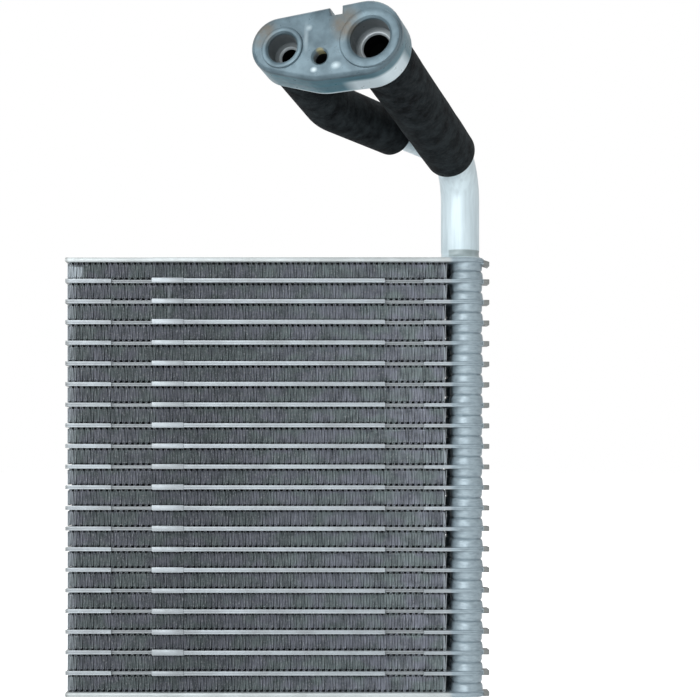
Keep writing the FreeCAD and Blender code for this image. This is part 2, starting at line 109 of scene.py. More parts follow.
class Bench:
    """A bmesh on the bench, with the steps that many pieces share."""

    def __init__(self) -> None:
        """Start with nothing on the bench."""
        self.bm = bmesh.new()

    def everything(self) -> Geometry:
        """Gather all that is on the bench."""
        return self.bm.verts[:] + self.bm.edges[:] + self.bm.faces[:]

    def bar(self, middle: Vector, size: Triple, turn: Matrix = LEVEL, edge: float = 0.0) -> None:
        """Lay a bar.

        Args:
            middle: The bar's middle.
            size: Its length along X, Y and Z.
            turn: How it is turned.
            edge: Radius of its edges, or 0 for sharp ones.
        """
        place = Matrix.Translation(middle) @ turn @ Matrix.Diagonal((*size, 1.0))
        made = bmesh.ops.create_cube(self.bm, size=1.0, matrix=place)["verts"]
        if edge:
            self.round_off(edges_at(made), edge)

    def round_off(self, edges: Edges, radius: float) -> None:
        """Round edges off in two steps."""
        bmesh.ops.bevel(
            self.bm, geom=edges, offset=radius, affect="EDGES", segments=2, profile=0.5, material=-1,
            clamp_overlap=True,
        )

    def bridge(self, loops: list[Edges]) -> None:
        """Join each loop of edges to the next one."""
        for first, second in zip(loops, loops[1:]):
            bmesh.ops.bridge_loops(self.bm, edges=first + second)

    def flip(self, verts: list[bmesh.types.BMVert]) -> None:
        """Turn vertices upside down about the level plane."""
        bmesh.ops.scale(self.bm, verts=verts, vec=(1, 1, -1))

    def lift(self, height: float) -> None:
        """Raise all that is on the bench."""
        bmesh.ops.translate(self.bm, verts=self.bm.verts[:], vec=UP * height)

    def merge(self) -> None:
        """Merge doubled vertices."""
        bmesh.ops.remove_doubles(self.bm, verts=self.bm.verts[:], dist=DOUBLED)

    def face_outwards(self) -> None:
        """Turn all faces outwards."""
        bmesh.ops.recalc_face_normals(self.bm, faces=self.bm.faces[:])

    def mesh(self, name: str) -> bpy.types.Mesh:
        """Write the bench's shape to a new mesh and clear the bench.

        Args:
            name: The mesh's name.

        Returns:
            The new mesh.
        """
        made = bpy.data.meshes.new(name)
        self.bm.to_mesh(made)
        self.bm.free()
        return made

    def finish(
        self, name: str, node: str, slot: str, material: bpy.types.Material, smooth_angle: float = 35.0
    ) -> None:
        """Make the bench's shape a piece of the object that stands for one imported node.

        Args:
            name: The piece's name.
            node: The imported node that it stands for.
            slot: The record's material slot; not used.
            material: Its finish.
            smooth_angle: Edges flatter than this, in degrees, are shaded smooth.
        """
        self.face_outwards()
        mesh = self.mesh(node)
        piece = bpy.data.objects.new(name, mesh)
        bpy.context.scene.collection.objects.link(piece)
        mesh.materials.append(material)
        mesh.shade_smooth()
        mesh.set_sharp_from_angle(angle=math.radians(smooth_angle))
        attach(piece, "root")
        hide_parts(node)
        log.info("%s: %d faces", name, len(mesh.polygons))


@dataclass(frozen=True)
class Grain:
    """A noise pattern, the span of it that counts, and the numbers that the span's two ends give."""

    scale: float
    detail: float
    span: Span = (0.3, 0.7)
    gives: Span = (0.0, 1.0)
    stretch: Triple = (1.0, 1.0, 1.0)
    rough: float = 0.55


@dataclass(frozen=True)
class Surface:
    """How a finish shines and feels: its roughness, metal and shine, and its fine relief if it has one."""

    roughness: Grain
    metallic: float = 0.0
    shine: float = 0.5
    relief: Grain | None = None
    relief_share: float = 0.0
    relief_depth: float = 0.0


class Shade:
    """The node tree of one material, built a node at a time."""

    # The sockets of a Mix node for its two colours, and for what they give.
    first_colour = 6
    second_colour = 7
    mixed_colour = 2

    def __init__(self, name: str) -> None:
        """Start a material with a Principled shader.

        Args:
            name: The material's name.
        """
        self.material = bpy.data.materials.new(name)
        self.material.use_nodes = True
        self.tree = self.material.node_tree
        self.shader = self.tree.nodes["Principled BSDF"]
        self.place = self.node("TexCoord").outputs["Object"]

    def node(
        self, kind: str, sources: dict[str | int, Socket] | None = None, values: Values | None = None
    ) -> bpy.types.Node:
        """Add a node.

        Args:
            kind: What kind of shader node it is.
            sources: What is linked to its inputs.
            values: What its other inputs are set to.

        Returns:
            The new node.
        """
        node = self.tree.nodes.new("ShaderNode" + kind)
        for name, source in (sources or {}).items():
            self.tree.links.new(source, node.inputs[name])
        for name, value in (values or {}).items():
            node.inputs[name].default_value = value
        return node

    def pattern(self, grain: Grain, place: Socket | None = None) -> Socket:
        """Add a noise pattern as it is.

        Args:
            grain: The pattern's measures.
            place: Coordinates to read, or None for the object's own.

        Returns:
            The pattern, from 0 to 1.
        """
        stretched = self.node("Mapping", {"Vector": place or self.place}, {"Scale": grain.stretch})
        values = {"Scale": grain.scale, "Detail": grain.detail, "Roughness": grain.rough}
        return self.node("TexNoise", {"Vector": stretched.outputs["Vector"]}, values).outputs["Fac"]

    def noise(self, grain: Grain, place: Socket | None = None) -> Socket:
        """Add a noise pattern and map its span to what it gives."""
        return self.ranged(self.pattern(grain, place), grain.span, grain.gives)

    def ranged(self, source: Socket, span: Span, gives: Span) -> Socket:
        """Map a number from one range to another, held at the ends.

        Args:
            source: The number.
            span: The range's two ends.
            gives: What the two ends give.

        Returns:
            The mapped number.
        """
        values = {"From Min": span[0], "From Max": span[1], "To Min": gives[0], "To Max": gives[1]}
        return self.node("MapRange", {"Value": source}, values).outputs["Result"]

    def along(self, axis: str, span: Span, gives: Span = (0.0, 1.0), place: Socket | None = None) -> Socket:
        """Let a number change along one axis, held beyond both ends.

        Args:
            axis: X, Y or Z.
            span: Where the change starts and ends.
            gives: The number at the start and at the end.
            place: Coordinates to read, or None for the object's own.

        Returns:
            The number.
        """
        source = self.node("SeparateXYZ", {0: place or self.place}).outputs[axis]
        return self.ranged(source, span, gives)

    def band(self, axis: str, low: float, high: float, soft: float, strength: float = 1.0) -> Socket:
        """Show a band across one axis.

        Args:
            axis: X, Y or Z.
            low: Where the full band starts.
            high: Where the full band ends.
            soft: How far it fades out beyond both.
            strength: What the full band gives.

        Returns:
            The strength inside the band, and 0 outside.
        """
        rise = self.along(axis, (low - soft, low))
        return self.times(rise, self.along(axis, (high, high + soft), (strength, 0.0)))

    def times(self, first: Socket, second: Socket) -> Socket:
        """Multiply two numbers."""
        return self.reckoned("MULTIPLY", first, second)

    def plus(self, first: Socket, second: Socket) -> Socket:
        """Add two numbers."""
        return self.reckoned("ADD", first, second)

    def reckoned(self, operation: str, first: Socket, second: Socket) -> Socket:
        """Join two numbers by one step of arithmetic.

        Args:
            operation: The step, by its node's name for it.
            first: One number.
            second: The other number.

        Returns:
            The outcome.
        """
        node = self.node("Math", {0: first, 1: second})
        node.operation = operation
        return node.outputs[0]

    def ramp(self, source: Socket, stops: dict[float, Colour]) -> Socket:
        """Turn a number into a colour.

        Args:
            source: A number from 0 to 1.
            stops: The colour at each place of the ramp.

        Returns:
            The colour.
        """
        node = self.node("ValToRGB", {"Fac": source})
        elements = node.color_ramp.elements
        while len(elements) < len(stops):
            elements.new(1.0)
        for element, (place, colour) in zip(elements, sorted(stops.items())):
            element.position = place
            element.color = (*colour, 1.0)
        return node.outputs["Color"]

    def mixed(self, share: Socket, first: Colour | Socket, second: Colour | Socket) -> Socket:
        """Mix two colours.

        Args:
            share: How much of the second colour shows, from 0 to 1.
            first: A colour, or a colour's socket.
            second: A colour, or a colour's socket.

        Returns:
            The mixed colour.
        """
        node = self.node("Mix")
        node.data_type = "RGBA"
        self.tree.links.new(share, node.inputs[0])
        for number, colour in ((self.first_colour, first), (self.second_colour, second)):
            if isinstance(colour, tuple):
                node.inputs[number].default_value = (*colour, 1.0)
            else:
                self.tree.links.new(colour, node.inputs[number])
        return node.outputs[self.mixed_colour]

    def finish(self, colour: Socket, surface: Surface) -> bpy.types.Material:
        """Give the shader its colour and its surface.

        Args:
            colour: The finished colour.
            surface: How it shines and feels.

        Returns:
            The material.
        """
        inputs = self.shader.inputs
        self.tree.links.new(colour, inputs["Base Color"])
        self.tree.links.new(self.noise(surface.roughness), inputs["Roughness"])
        inputs["Metallic"].default_value = surface.metallic
        inputs["Specular IOR Level"].default_value = surface.shine
        if surface.relief:
            values = {"Strength": surface.relief_share, "Distance": surface.relief_depth}
            bump = self.node("Bump", {"Height": self.pattern(surface.relief)}, values)
            self.tree.links.new(bump.outputs["Normal"], inputs["Normal"])
        return self.material


@dataclass(frozen=True)
class StampedFinish:
    """Brazed sheet of the plates: pale lands and blue-grey drawn cups, with painted shade on the notch edges
    and the sheets behind the front, on the tabs at the tank end and on the left tips.
    """

    name: str = "stamped_aluminium"
    land: Colour = (0.375, 0.42, 0.45)
    land_dull: Colour = (0.29, 0.32, 0.34)
    # Painted shade for the notch edges and the sheet faces behind the front.
    notch: Colour = (0.25, 0.275, 0.29)
    tank: Colour = (0.32, 0.40, 0.445)
    tank_dull: Colour = (0.23, 0.29, 0.33)
    # Painted shade, warm grey, for the tabs at the tank end and the plates' left tips.
    rim: Colour = (0.19, 0.20, 0.195)
    notch_shade_rise: Span = (-29.8 * MM, -29.0 * MM)
    tank_rise: Span = (91.2 * MM, 93.2 * MM)
    rim_shade_rise: Span = (109.6 * MM, 110.4 * MM)
    tip_shade_rise: Span = (-111.2 * MM, -112.4 * MM)
    tip_shade_share: Span = (0.0, 0.6)
    blotches: Grain = Grain(55, 4, (0.35, 0.6))
    streaks: Grain = Grain(260, 3, (0.3, 0.62), stretch=(1.0, 1.0, 3.5))
    surface: Surface = Surface(
        Grain(420, 2, gives=(0.34, 0.52)), metallic=0.25,
        relief=Grain(1400, 3), relief_share=0.25, relief_depth=0.05 * MM,
    )

    def material(self) -> bpy.types.Material:
        """Build the finish.

        Returns:
            The material.
        """
        shade = Shade(self.name)
        land = shade.mixed(shade.noise(self.blotches), self.land_dull, self.land)
        # Painted shade: everything behind the front lands takes the notch colour.
        front = shade.mixed(shade.along("Y", self.notch_shade_rise), land, self.notch)
        tank = shade.mixed(shade.noise(self.streaks), self.tank_dull, self.tank)
        sheet = shade.mixed(shade.along("X", self.tank_rise), front, tank)
        # Painted shade on the tabs at the tank end, and below on the plates' left tips.
        rim_shaded = shade.mixed(shade.along("X", self.rim_shade_rise), sheet, self.rim)
        tip = shade.along("X", self.tip_shade_rise, self.tip_shade_share)
        return shade.finish(shade.mixed(tip, rim_shaded, self.rim), self.surface)


@dataclass(frozen=True)
class PalePatch:
    """A patch of the fins' front painted in the pale colour, in millimetres seen from the front."""

    left: float
    right: float
    low: float
    high: float
    strength: float
    soft: float = 0.5

    def share(self, shade: Shade) -> Socket:
        """Find how far the patch shows here.

        Args:
            shade: The finish's node tree.

        Returns:
            The patch's strength inside it, and 0 outside.
        """
        across = shade.band("X", self.left * MM, self.right * MM, self.soft * MM)
        height = shade.band("Z", self.low * MM, self.high * MM, self.soft * MM, self.strength)
        return shade.times(across, height)


@dataclass(frozen=True)
class FinFinish:
    """Coated fin stock: greenish and violet dull grey, with painted light and shade along the rows, painted
    shadow in clouds and streaks, dust specks, a painted highlight at the rows' left ends and pale patches.
    """

    green: Colour = (0.241, 0.292, 0.300)
    violet: Colour = (0.274, 0.293, 0.346)
    dust: Colour = (0.44, 0.47, 0.49)
    # Pale colour: a painted highlight at the rows' left ends, and the paler right ends and pale patches.
    pale_and_highlight: Colour = (0.60, 0.66, 0.70)
    shadow: Colour = (0.075, 0.09, 0.10)
    row: Span = (-112.5 * MM, 89.6 * MM)
    # Painted light and shade along the rows: lighter at the left end, darkest left of the middle and
    # lightest towards the right end, as the key light from the left falls.
    painted_row_light: tuple[Span, ...] = ((0.0, 0.86), (0.09, 0.77), (0.40, 0.74), (0.61, 1.02), (0.98, 1.27))
    patches: Grain = Grain(1.0, 2, (0.42, 0.56), stretch=(60.0, 4.0, 90.0))
    clouds: Grain = Grain(1.0, 3, (0.56, 0.36), (0.0, 0.5), (150.0, 6.0, 170.0))
    streaks: Grain = Grain(1.0, 1, (0.52, 0.36), (0.0, 0.35), (560.0, 20.0, 50.0))
    specks: Grain = Grain(900, 2, (0.54, 0.72), (0.0, 0.9))
    left_highlight_end: Span = (-112.0 * MM, -106.5 * MM)
    left_highlight_share: Span = (0.75, 0.0)
    right_end: Span = (87.9 * MM, 88.7 * MM)
    right_pale_share: Span = (0.0, 0.6)
    # The first patch is a painted highlight at the top row's left end; the second is a thin pale mark.
    pale_patches: tuple[PalePatch, ...] = (
        PalePatch(-113.0, -104.0, 223.5, 229.0, 0.9),
        PalePatch(-58.3, -57.4, 205.0, 220.0, 0.45),
    )
    surface: Surface = Surface(Grain(600, 2, gives=(0.5, 0.7)), metallic=0.1)

    def material(self) -> bpy.types.Material:
        """Build the finish.

        Returns:
            The material.
        """
        shade = Shade("fin_stock")
        along = shade.along("X", self.row)
        green = shade.ramp(along, self.painted_along_row(self.green))
        violet = shade.ramp(along, self.painted_along_row(self.violet))
        colour = shade.mixed(shade.noise(self.patches), green, violet)
        layers = ((self.clouds, self.shadow), (self.streaks, self.shadow), (self.specks, self.dust))
        for grain, other in layers:
            colour = shade.mixed(shade.noise(grain), colour, other)
        return shade.finish(shade.mixed(self.paled(shade), colour, self.pale_and_highlight), self.surface)

    def painted_along_row(self, colour: Colour) -> dict[float, Colour]:
        """Scale a colour by the painted light and shade along the row, from 0 at the row's left to 1 at its
        right.
        """
        return {place: tuple(channel * tone for channel in colour) for place, tone in self.painted_row_light}

    def paled(self, shade: Shade) -> Socket:
        """Find where the fins are painted pale: a painted highlight at the rows' left ends, paler right
        ends, and a few pale patches.

        Args:
            shade: The finish's node tree.

        Returns:
            How far the pale colour shows, from 0 to 1.
        """
        # Painted highlight where light comes in at the rows' open left ends.
        left = shade.along("X", self.left_highlight_end, self.left_highlight_share)
        paled = shade.plus(left, shade.along("X", self.right_end, self.right_pale_share))
        for pale_patch in self.pale_patches:
            paled = shade.plus(paled, pale_patch.share(shade))
        return paled


@dataclass(frozen=True)
class Patch:
    """A round patch on the block, in millimetres of the block's own X and Z."""

    x: float
    z: float
    width: float
    height: float
    strength: float = 1.0
    edge: float = 0.5


@dataclass(frozen=True)
class Bore:
    """A hole in the block, in millimetres: the painted shade on its wall, the painted highlight on its step
    and the depth where painted black shade starts.
    """

    x: float
    z: float
    mouth: float
    radius: float
    step: float
    black: float


class BlockShade(Shade):
    """A material that is laid out in the connection block's own frame."""

    sharp = 0.01

    def __init__(self, name: str, local: Matrix) -> None:
        """Start a material, and read the object's coordinates in the block's frame.

        Args:
            name: The material's name.
            local: The turn and shift from the model's frame into the block's own.
        """
        super().__init__(name)
        values = {"Location": local.to_translation(), "Rotation": local.to_euler()}
        self.block = self.node("Mapping", {"Vector": self.place}, values).outputs["Vector"]

    def depth(self, span: Span, gives: Span = (0.0, 1.0)) -> Socket:
        """Let a number change with the depth below the block's face."""
        return self.along("Y", span, gives, self.block)

    def patch(self, patch: Patch) -> Socket:
        """Find how much of a patch shows.

        Args:
            patch: The patch.

        Returns:
            The patch's strength in its middle, and 0 outside.
        """
        values = {
            "Location": (-patch.x / patch.width, 0.0, -patch.z / patch.height),
            "Scale": (1 / (patch.width * MM), 0.0, 1 / (patch.height * MM)),
        }
        centred = self.node("Mapping", {"Vector": self.block}, values).outputs["Vector"]
        ball = self.node("TexGradient", {"Vector": centred})
        ball.gradient_type = "SPHERICAL"
        return self.ranged(ball.outputs["Fac"], (0.0, patch.edge), (0.0, patch.strength))

    def disc(self, x: float, z: float, radius: float) -> Socket:
        """Show a sharp round patch, given in millimetres."""
        return self.patch(Patch(x, z, radius, radius, 1.0, self.sharp))


@dataclass(frozen=True)
class DrawnFinish:
    """Drawn pipe: pale and smooth, with faint lines along it, painted shade in the neck above its foot and
    painted black shade inside its open ends at the block.
    """

    pale: Colour = (0.70, 0.83, 0.885)
    dull: Colour = (0.60, 0.72, 0.77)
    # Painted shade for the neck groove above the foot.
    neck_shade: Colour = (0.30, 0.37, 0.38)
    # Painted black shade inside the pipes' open ends.
    inside: Colour = (0.006, 0.006, 0.007)
    lines: Grain = Grain(150, 3, (0.35, 0.6), stretch=(3.0, 3.0, 0.25))
    blotches: Grain = Grain(70, 3, (0.3, 0.6), (0.4, 1.0))
    neck_shade_left: Span = (91.3 * MM, 92.3 * MM)
    neck_shade_low: float = 1.4 * MM
    neck_shade_high: float = 4.7 * MM
    neck_shade_soft: float = 0.5 * MM
    throat_shade_end: Span = (52.0 * MM, 53.0 * MM)
    bores: tuple[Triple, ...] = ((0.0, 0.0, 9.0), (-42.3, 0.0, 5.3))
    surface: Surface = Surface(
        Grain(70, 3, gives=(0.3, 0.45)), metallic=0.1,
        relief=Grain(900, 2, stretch=(1.0, 1.0, 0.2)), relief_share=0.15, relief_depth=0.04 * MM,
    )

    def material(self, top: float, local: Matrix) -> bpy.types.Material:
        """Build the finish.

        Args:
            top: Height of the plate that the pipes stand on.
            local: The turn and shift from the model's frame into the block's own.

        Returns:
            The material.
        """
        shade = BlockShade("drawn_pipe", local)
        colour = shade.mixed(shade.noise(self.lines), self.dull, self.pale)
        # Painted shade, blotched, in the neck groove above the foot.
        ring = shade.band("Z", top + self.neck_shade_low, top + self.neck_shade_high, self.neck_shade_soft)
        ring = shade.times(ring, shade.along("X", self.neck_shade_left))
        colour = shade.mixed(shade.times(ring, shade.noise(self.blotches)), colour, self.neck_shade)
        # Painted black shade inside the pipes' open ends, up to the given depth.
        near = shade.depth(self.throat_shade_end, (1.0, 0.0))
        for bore in self.bores:
            colour = shade.mixed(shade.times(shade.disc(*bore), near), colour, self.inside)
        return shade.finish(colour, self.surface)


@dataclass(frozen=True)
class MachinedFinish:
    """Block: blue-grey machined aluminium with cloudy patches and a little brown tarnish, painted glints,
    painted highlights on its lower-right wall and back edge, painted light and shade in its holes, and a
    yellow thread near its face with a painted glint.
    """

    pale: Colour = (0.130, 0.190, 0.224)
    dull: Colour = (0.066, 0.102, 0.124)
    tarnish: Colour = (0.12, 0.108, 0.088)
    wall: Colour = (0.08, 0.195, 0.245)
    # Painted shade on the holes' walls.
    bore_wall_shade: Colour = (0.15, 0.17, 0.18)
    # Painted highlight on the steps inside the holes.
    step: Colour = (0.36, 0.40, 0.42)
    # Painted highlight colour for the glints, the lower-right side wall and the back edge.
    painted_highlight: Colour = (0.60, 0.71, 0.76)
    # Yellow of the bolt's thread, painted brighter as a glint.
    brass_glint: Colour = (0.30, 0.28, 0.15)
    # Painted black shade deep in the holes.
    black: Colour = (0.004, 0.004, 0.005)
    wall_rise: Span = (2.2 * MM, 4.0 * MM)
    lit_wall_rise: Span = (6.5 * MM, 9.0 * MM)
    lit_edge_rise: Span = (16.2 * MM, 17.0 * MM)
    brass_glint_fall: Span = (4.5 * MM, 5.5 * MM)
    bore_wall_shade_rise: Span = (1.0 * MM, 2.2 * MM)
    step_soft: float = 0.1
    black_soft: float = 0.3
    clouds: Grain = Grain(95, 4, (0.32, 0.62))
    brown: Grain = Grain(160, 3, (0.35, 0.65), (0.25, 0.9))
    bands: Grain = Grain(1.0, 2, (0.35, 0.6), (1.0, 0.45), (12.0, 340.0, 12.0))
    tarnished: tuple[Patch, ...] = (Patch(-11.5, 8.5, 9.0, 10.0), Patch(-52.5, 8.5, 9.0, 8.0))
    glints: tuple[Patch, ...] = (
        Patch(-26.5, -12.5, 2.0, 1.6, 0.65, 0.8),
        Patch(-15.8, -11.5, 2.8, 2.2, 0.5, 0.9),
        Patch(-29.4, 8.4, 1.8, 1.8, 0.35, 0.9),
        Patch(-30.8, 4.0, 1.5, 9.0, 0.2, 0.9),
    )
    # Painted highlight on the lower-right side wall, and a painted highlight along the back edge's bevel.
    painted_lit_wall: Patch = Patch(1.5, -12.0, 19.0, 12.0, 1.0, 0.3)
    painted_lit_edge: Patch = Patch(-24.0, -16.0, 26.0, 8.0, 0.8, 0.4)
    brassy_glint: Patch = Patch(-24.0, -3.2, 2.2, 1.6, 0.85)
    bores: tuple[Bore, ...] = (
        Bore(0.0, 0.0, 10.3, 7.45, 9.95, 11.1),
        Bore(-42.3, 0.0, 7.9, 5.25, 10.45, 11.5),
        Bore(-23.8, -6.3, 4.7, 4.7, 4.5, 4.4),
        Bore(-23.0, -7.0, 4.1, 4.1, 1.0, 0.9),
    )
    surface: Surface = Surface(
        Grain(300, 3, gives=(0.26, 0.42)), metallic=0.25, shine=0.25,
        relief=Grain(1100, 3), relief_share=0.3, relief_depth=0.06 * MM,
    )

    def material(self, local: Matrix) -> bpy.types.Material:
        """Build the finish.

        Args:
            local: The turn and shift from the model's frame into the block's own.

        Returns:
            The material.
        """
        shade = BlockShade("machined_block", local)
        colour = shade.mixed(shade.noise(self.clouds), self.dull, self.pale)
        brown = shade.noise(self.brown)
        for patch in self.tarnished:
            colour = shade.mixed(shade.times(shade.patch(patch), brown), colour, self.tarnish)
        # Painted glints, standing in for reflections on dings and a lit step line on the face.
        for patch in self.glints:
            colour = shade.mixed(shade.patch(patch), colour, self.painted_highlight)
        wall = shade.times(shade.depth(self.wall_rise), shade.noise(self.bands, shade.block))
        colour = shade.mixed(wall, colour, self.wall)
        # Painted highlights on the lower-right side wall and on the back edge.
        for patch, rise in ((self.painted_lit_wall, self.lit_wall_rise), (self.painted_lit_edge, self.lit_edge_rise)):
            colour = shade.mixed(shade.times(shade.patch(patch), shade.depth(rise)), colour, self.painted_highlight)
        # Painted light and shade inside the holes.
        for bore in self.bores:
            colour = self.shaded_hole(shade, bore, colour)
        # The thread's yellow near the face, with a painted glint.
        brass_glint = shade.times(shade.patch(self.brassy_glint), shade.depth(self.brass_glint_fall, (1.0, 0.0)))
        return shade.finish(shade.mixed(brass_glint, colour, self.brass_glint), self.surface)

    def shaded_hole(self, shade: BlockShade, bore: Bore, colour: Socket) -> Socket:
        """Paint light and shade into a hole's inside.

        Args:
            shade: The finish's node tree.
            bore: The hole.
            colour: The block's colour.

        Returns:
            The colour with painted shade on the hole's wall, a painted highlight on its step and painted
            black shade in its depth.
        """
        mouth = shade.disc(bore.x, bore.z, bore.mouth)
        inside = shade.disc(bore.x, bore.z, bore.radius)
        step_rise = (bore.step * MM, (bore.step + self.step_soft) * MM)
        black_rise = (bore.black * MM, (bore.black + self.black_soft) * MM)
        layers = (
            (mouth, self.bore_wall_shade_rise, self.bore_wall_shade),
            (inside, step_rise, self.step),
            (inside, black_rise, self.black),
        )
        for share, rise, layer in layers:
            colour = shade.mixed(shade.times(share, shade.depth(rise)), colour, layer)
        return colour


@dataclass(frozen=True)
class FoamFinish:
    """Closed-cell foam: near black, matt and finely pitted."""

    black: Colour = (0.001, 0.002, 0.003)
    grey: Colour = (0.0185, 0.0245, 0.0275)
    clouds: Grain = Grain(120, 4, (0.36, 0.64), rough=0.7)
    surface: Surface = Surface(
        Grain(500, 2, gives=(0.72, 0.9)), shine=0.08,
        relief=Grain(1500, 4), relief_share=0.7, relief_depth=0.3 * MM,
    )

    def material(self) -> bpy.types.Material:
        """Build the finish.

        Returns:
            The material.
        """
        shade = Shade("black_foam")
        return shade.finish(shade.mixed(shade.noise(self.clouds), self.black, self.grey), self.surface)


class Sweep:
    """A round bar drawn out from a ring of edges: straight runs, steps and spun bends."""

    def __init__(
        self, bm: bmesh.types.BMesh, start: Vector, heading: Vector, radius: float, segments: int
    ) -> None:
        """Lay the first ring.

        Args:
            bm: The bmesh to draw in.
            start: Middle of the ring.
            heading: The way that the bar sets off.
            radius: Radius of the ring.
            segments: Sides of the ring.
        """
        self.bm = bm
        self.tip = start.copy()
        self.heading = heading.normalized()
        self.radius = radius
        facing = self.heading.to_track_quat("Z", "X").to_matrix().to_4x4()
        place = Matrix.Translation(start) @ facing
        self.verts = bmesh.ops.create_circle(bm, segments=segments, radius=radius, matrix=place)["verts"]
        self.edges = edges_at(self.verts)

    def close(self) -> None:
        """Fill the ring at the tip with a face."""
        bmesh.ops.edgeloop_fill(self.bm, edges=self.edges)

    def run(self, length: float, radius: float | None = None, steps: int = 1) -> None:
        """Draw the bar on in a straight line.

        Args:
            length: How far.
            radius: The radius at the end, or None to keep it.
            steps: Rings that the run is divided by.
        """
        first = self.radius
        growth = 0.0 if radius is None else radius - first
        for step in range(steps):
            grown = bmesh.ops.extrude_edge_only(self.bm, edges=self.edges)["geom"]
            self.verts = verts_of(grown)
            self.edges = edges_among(grown)
            way = self.heading * (length / steps)
            bmesh.ops.translate(self.bm, verts=self.verts, vec=way)
            self.tip = self.tip + way
            wanted = first + growth * (step + 1) / steps
            scale = Vector((1, 1, 1)) * (wanted / self.radius)
            bmesh.ops.scale(self.bm, verts=self.verts, vec=scale, space=Matrix.Translation(-self.tip))
            self.radius = wanted

    def steps(self, profile: Profile) -> None:
        """Draw the bar on through short runs, each given by its length and the radius at its end."""
        for length, radius in profile:
            self.run(length, radius)

    def bend(self, towards: Vector, radius: float, steps: int) -> None:
        """Draw the bar round an arc until it points a new way.

        Args:
            towards: The new heading.
            radius: Radius of the arc at the bar's middle line.
            steps: Rings that the arc is divided by.
        """
        axis = self.heading.cross(towards).normalized()
        angle = self.heading.angle(towards)
        centre = self.tip + axis.cross(self.heading).normalized() * radius
        ring = self.verts + self.edges
        spun = bmesh.ops.spin(
            self.bm, geom=ring, cent=centre, axis=axis, angle=angle, steps=steps
        )["geom_last"]
        self.verts = verts_of(spun)
        self.edges = edges_among(spun)
        self.tip = centre + Matrix.Rotation(angle, 3, axis) @ (self.tip - centre)
        self.heading = towards

    def round_corner(
        self, corner: Vector, onward: Vector, radius: float, rings: int, run_rings: int = 1
    ) -> float:
        """Draw the bar on to a corner and round it.

        Args:
            corner: The corner.
            onward: The place that the bar goes to from there.
            radius: Radius of the bend.
            rings: Rings of the bend.
            run_rings: Rings of the run before it.

        Returns:
            How far from the corner the bend starts and ends.
        """
        way = (onward - corner).normalized()
        reach = radius * math.tan(self.heading.angle(way) / 2)
        self.run((corner - self.tip).length - reach, steps=run_rings)
        self.bend(way, radius, rings)
        return reach

    def turn_back(self, radius: float, length: float) -> None:
        """Turn the bar back into its own end, as a hole.

        Args:
            radius: Radius of the hole.
            length: Depth of the hole.
        """
        self.run(0.0, radius)
        self.heading = -self.heading
        self.run(length)


@dataclass(frozen=True)
class Wander:
    """A slow unevenness: its waves per metre across and back, its step from row to row, and its size."""

    across: float
    back: float
    row: float
    size: float

    def shift(self, x: float, y: float, row: float) -> float:
        """Give the sideways shift at one place of a row."""
        place = Vector((x * self.across, y * self.back, row * self.row + SEED))
        return self.size * noise.noise(place)


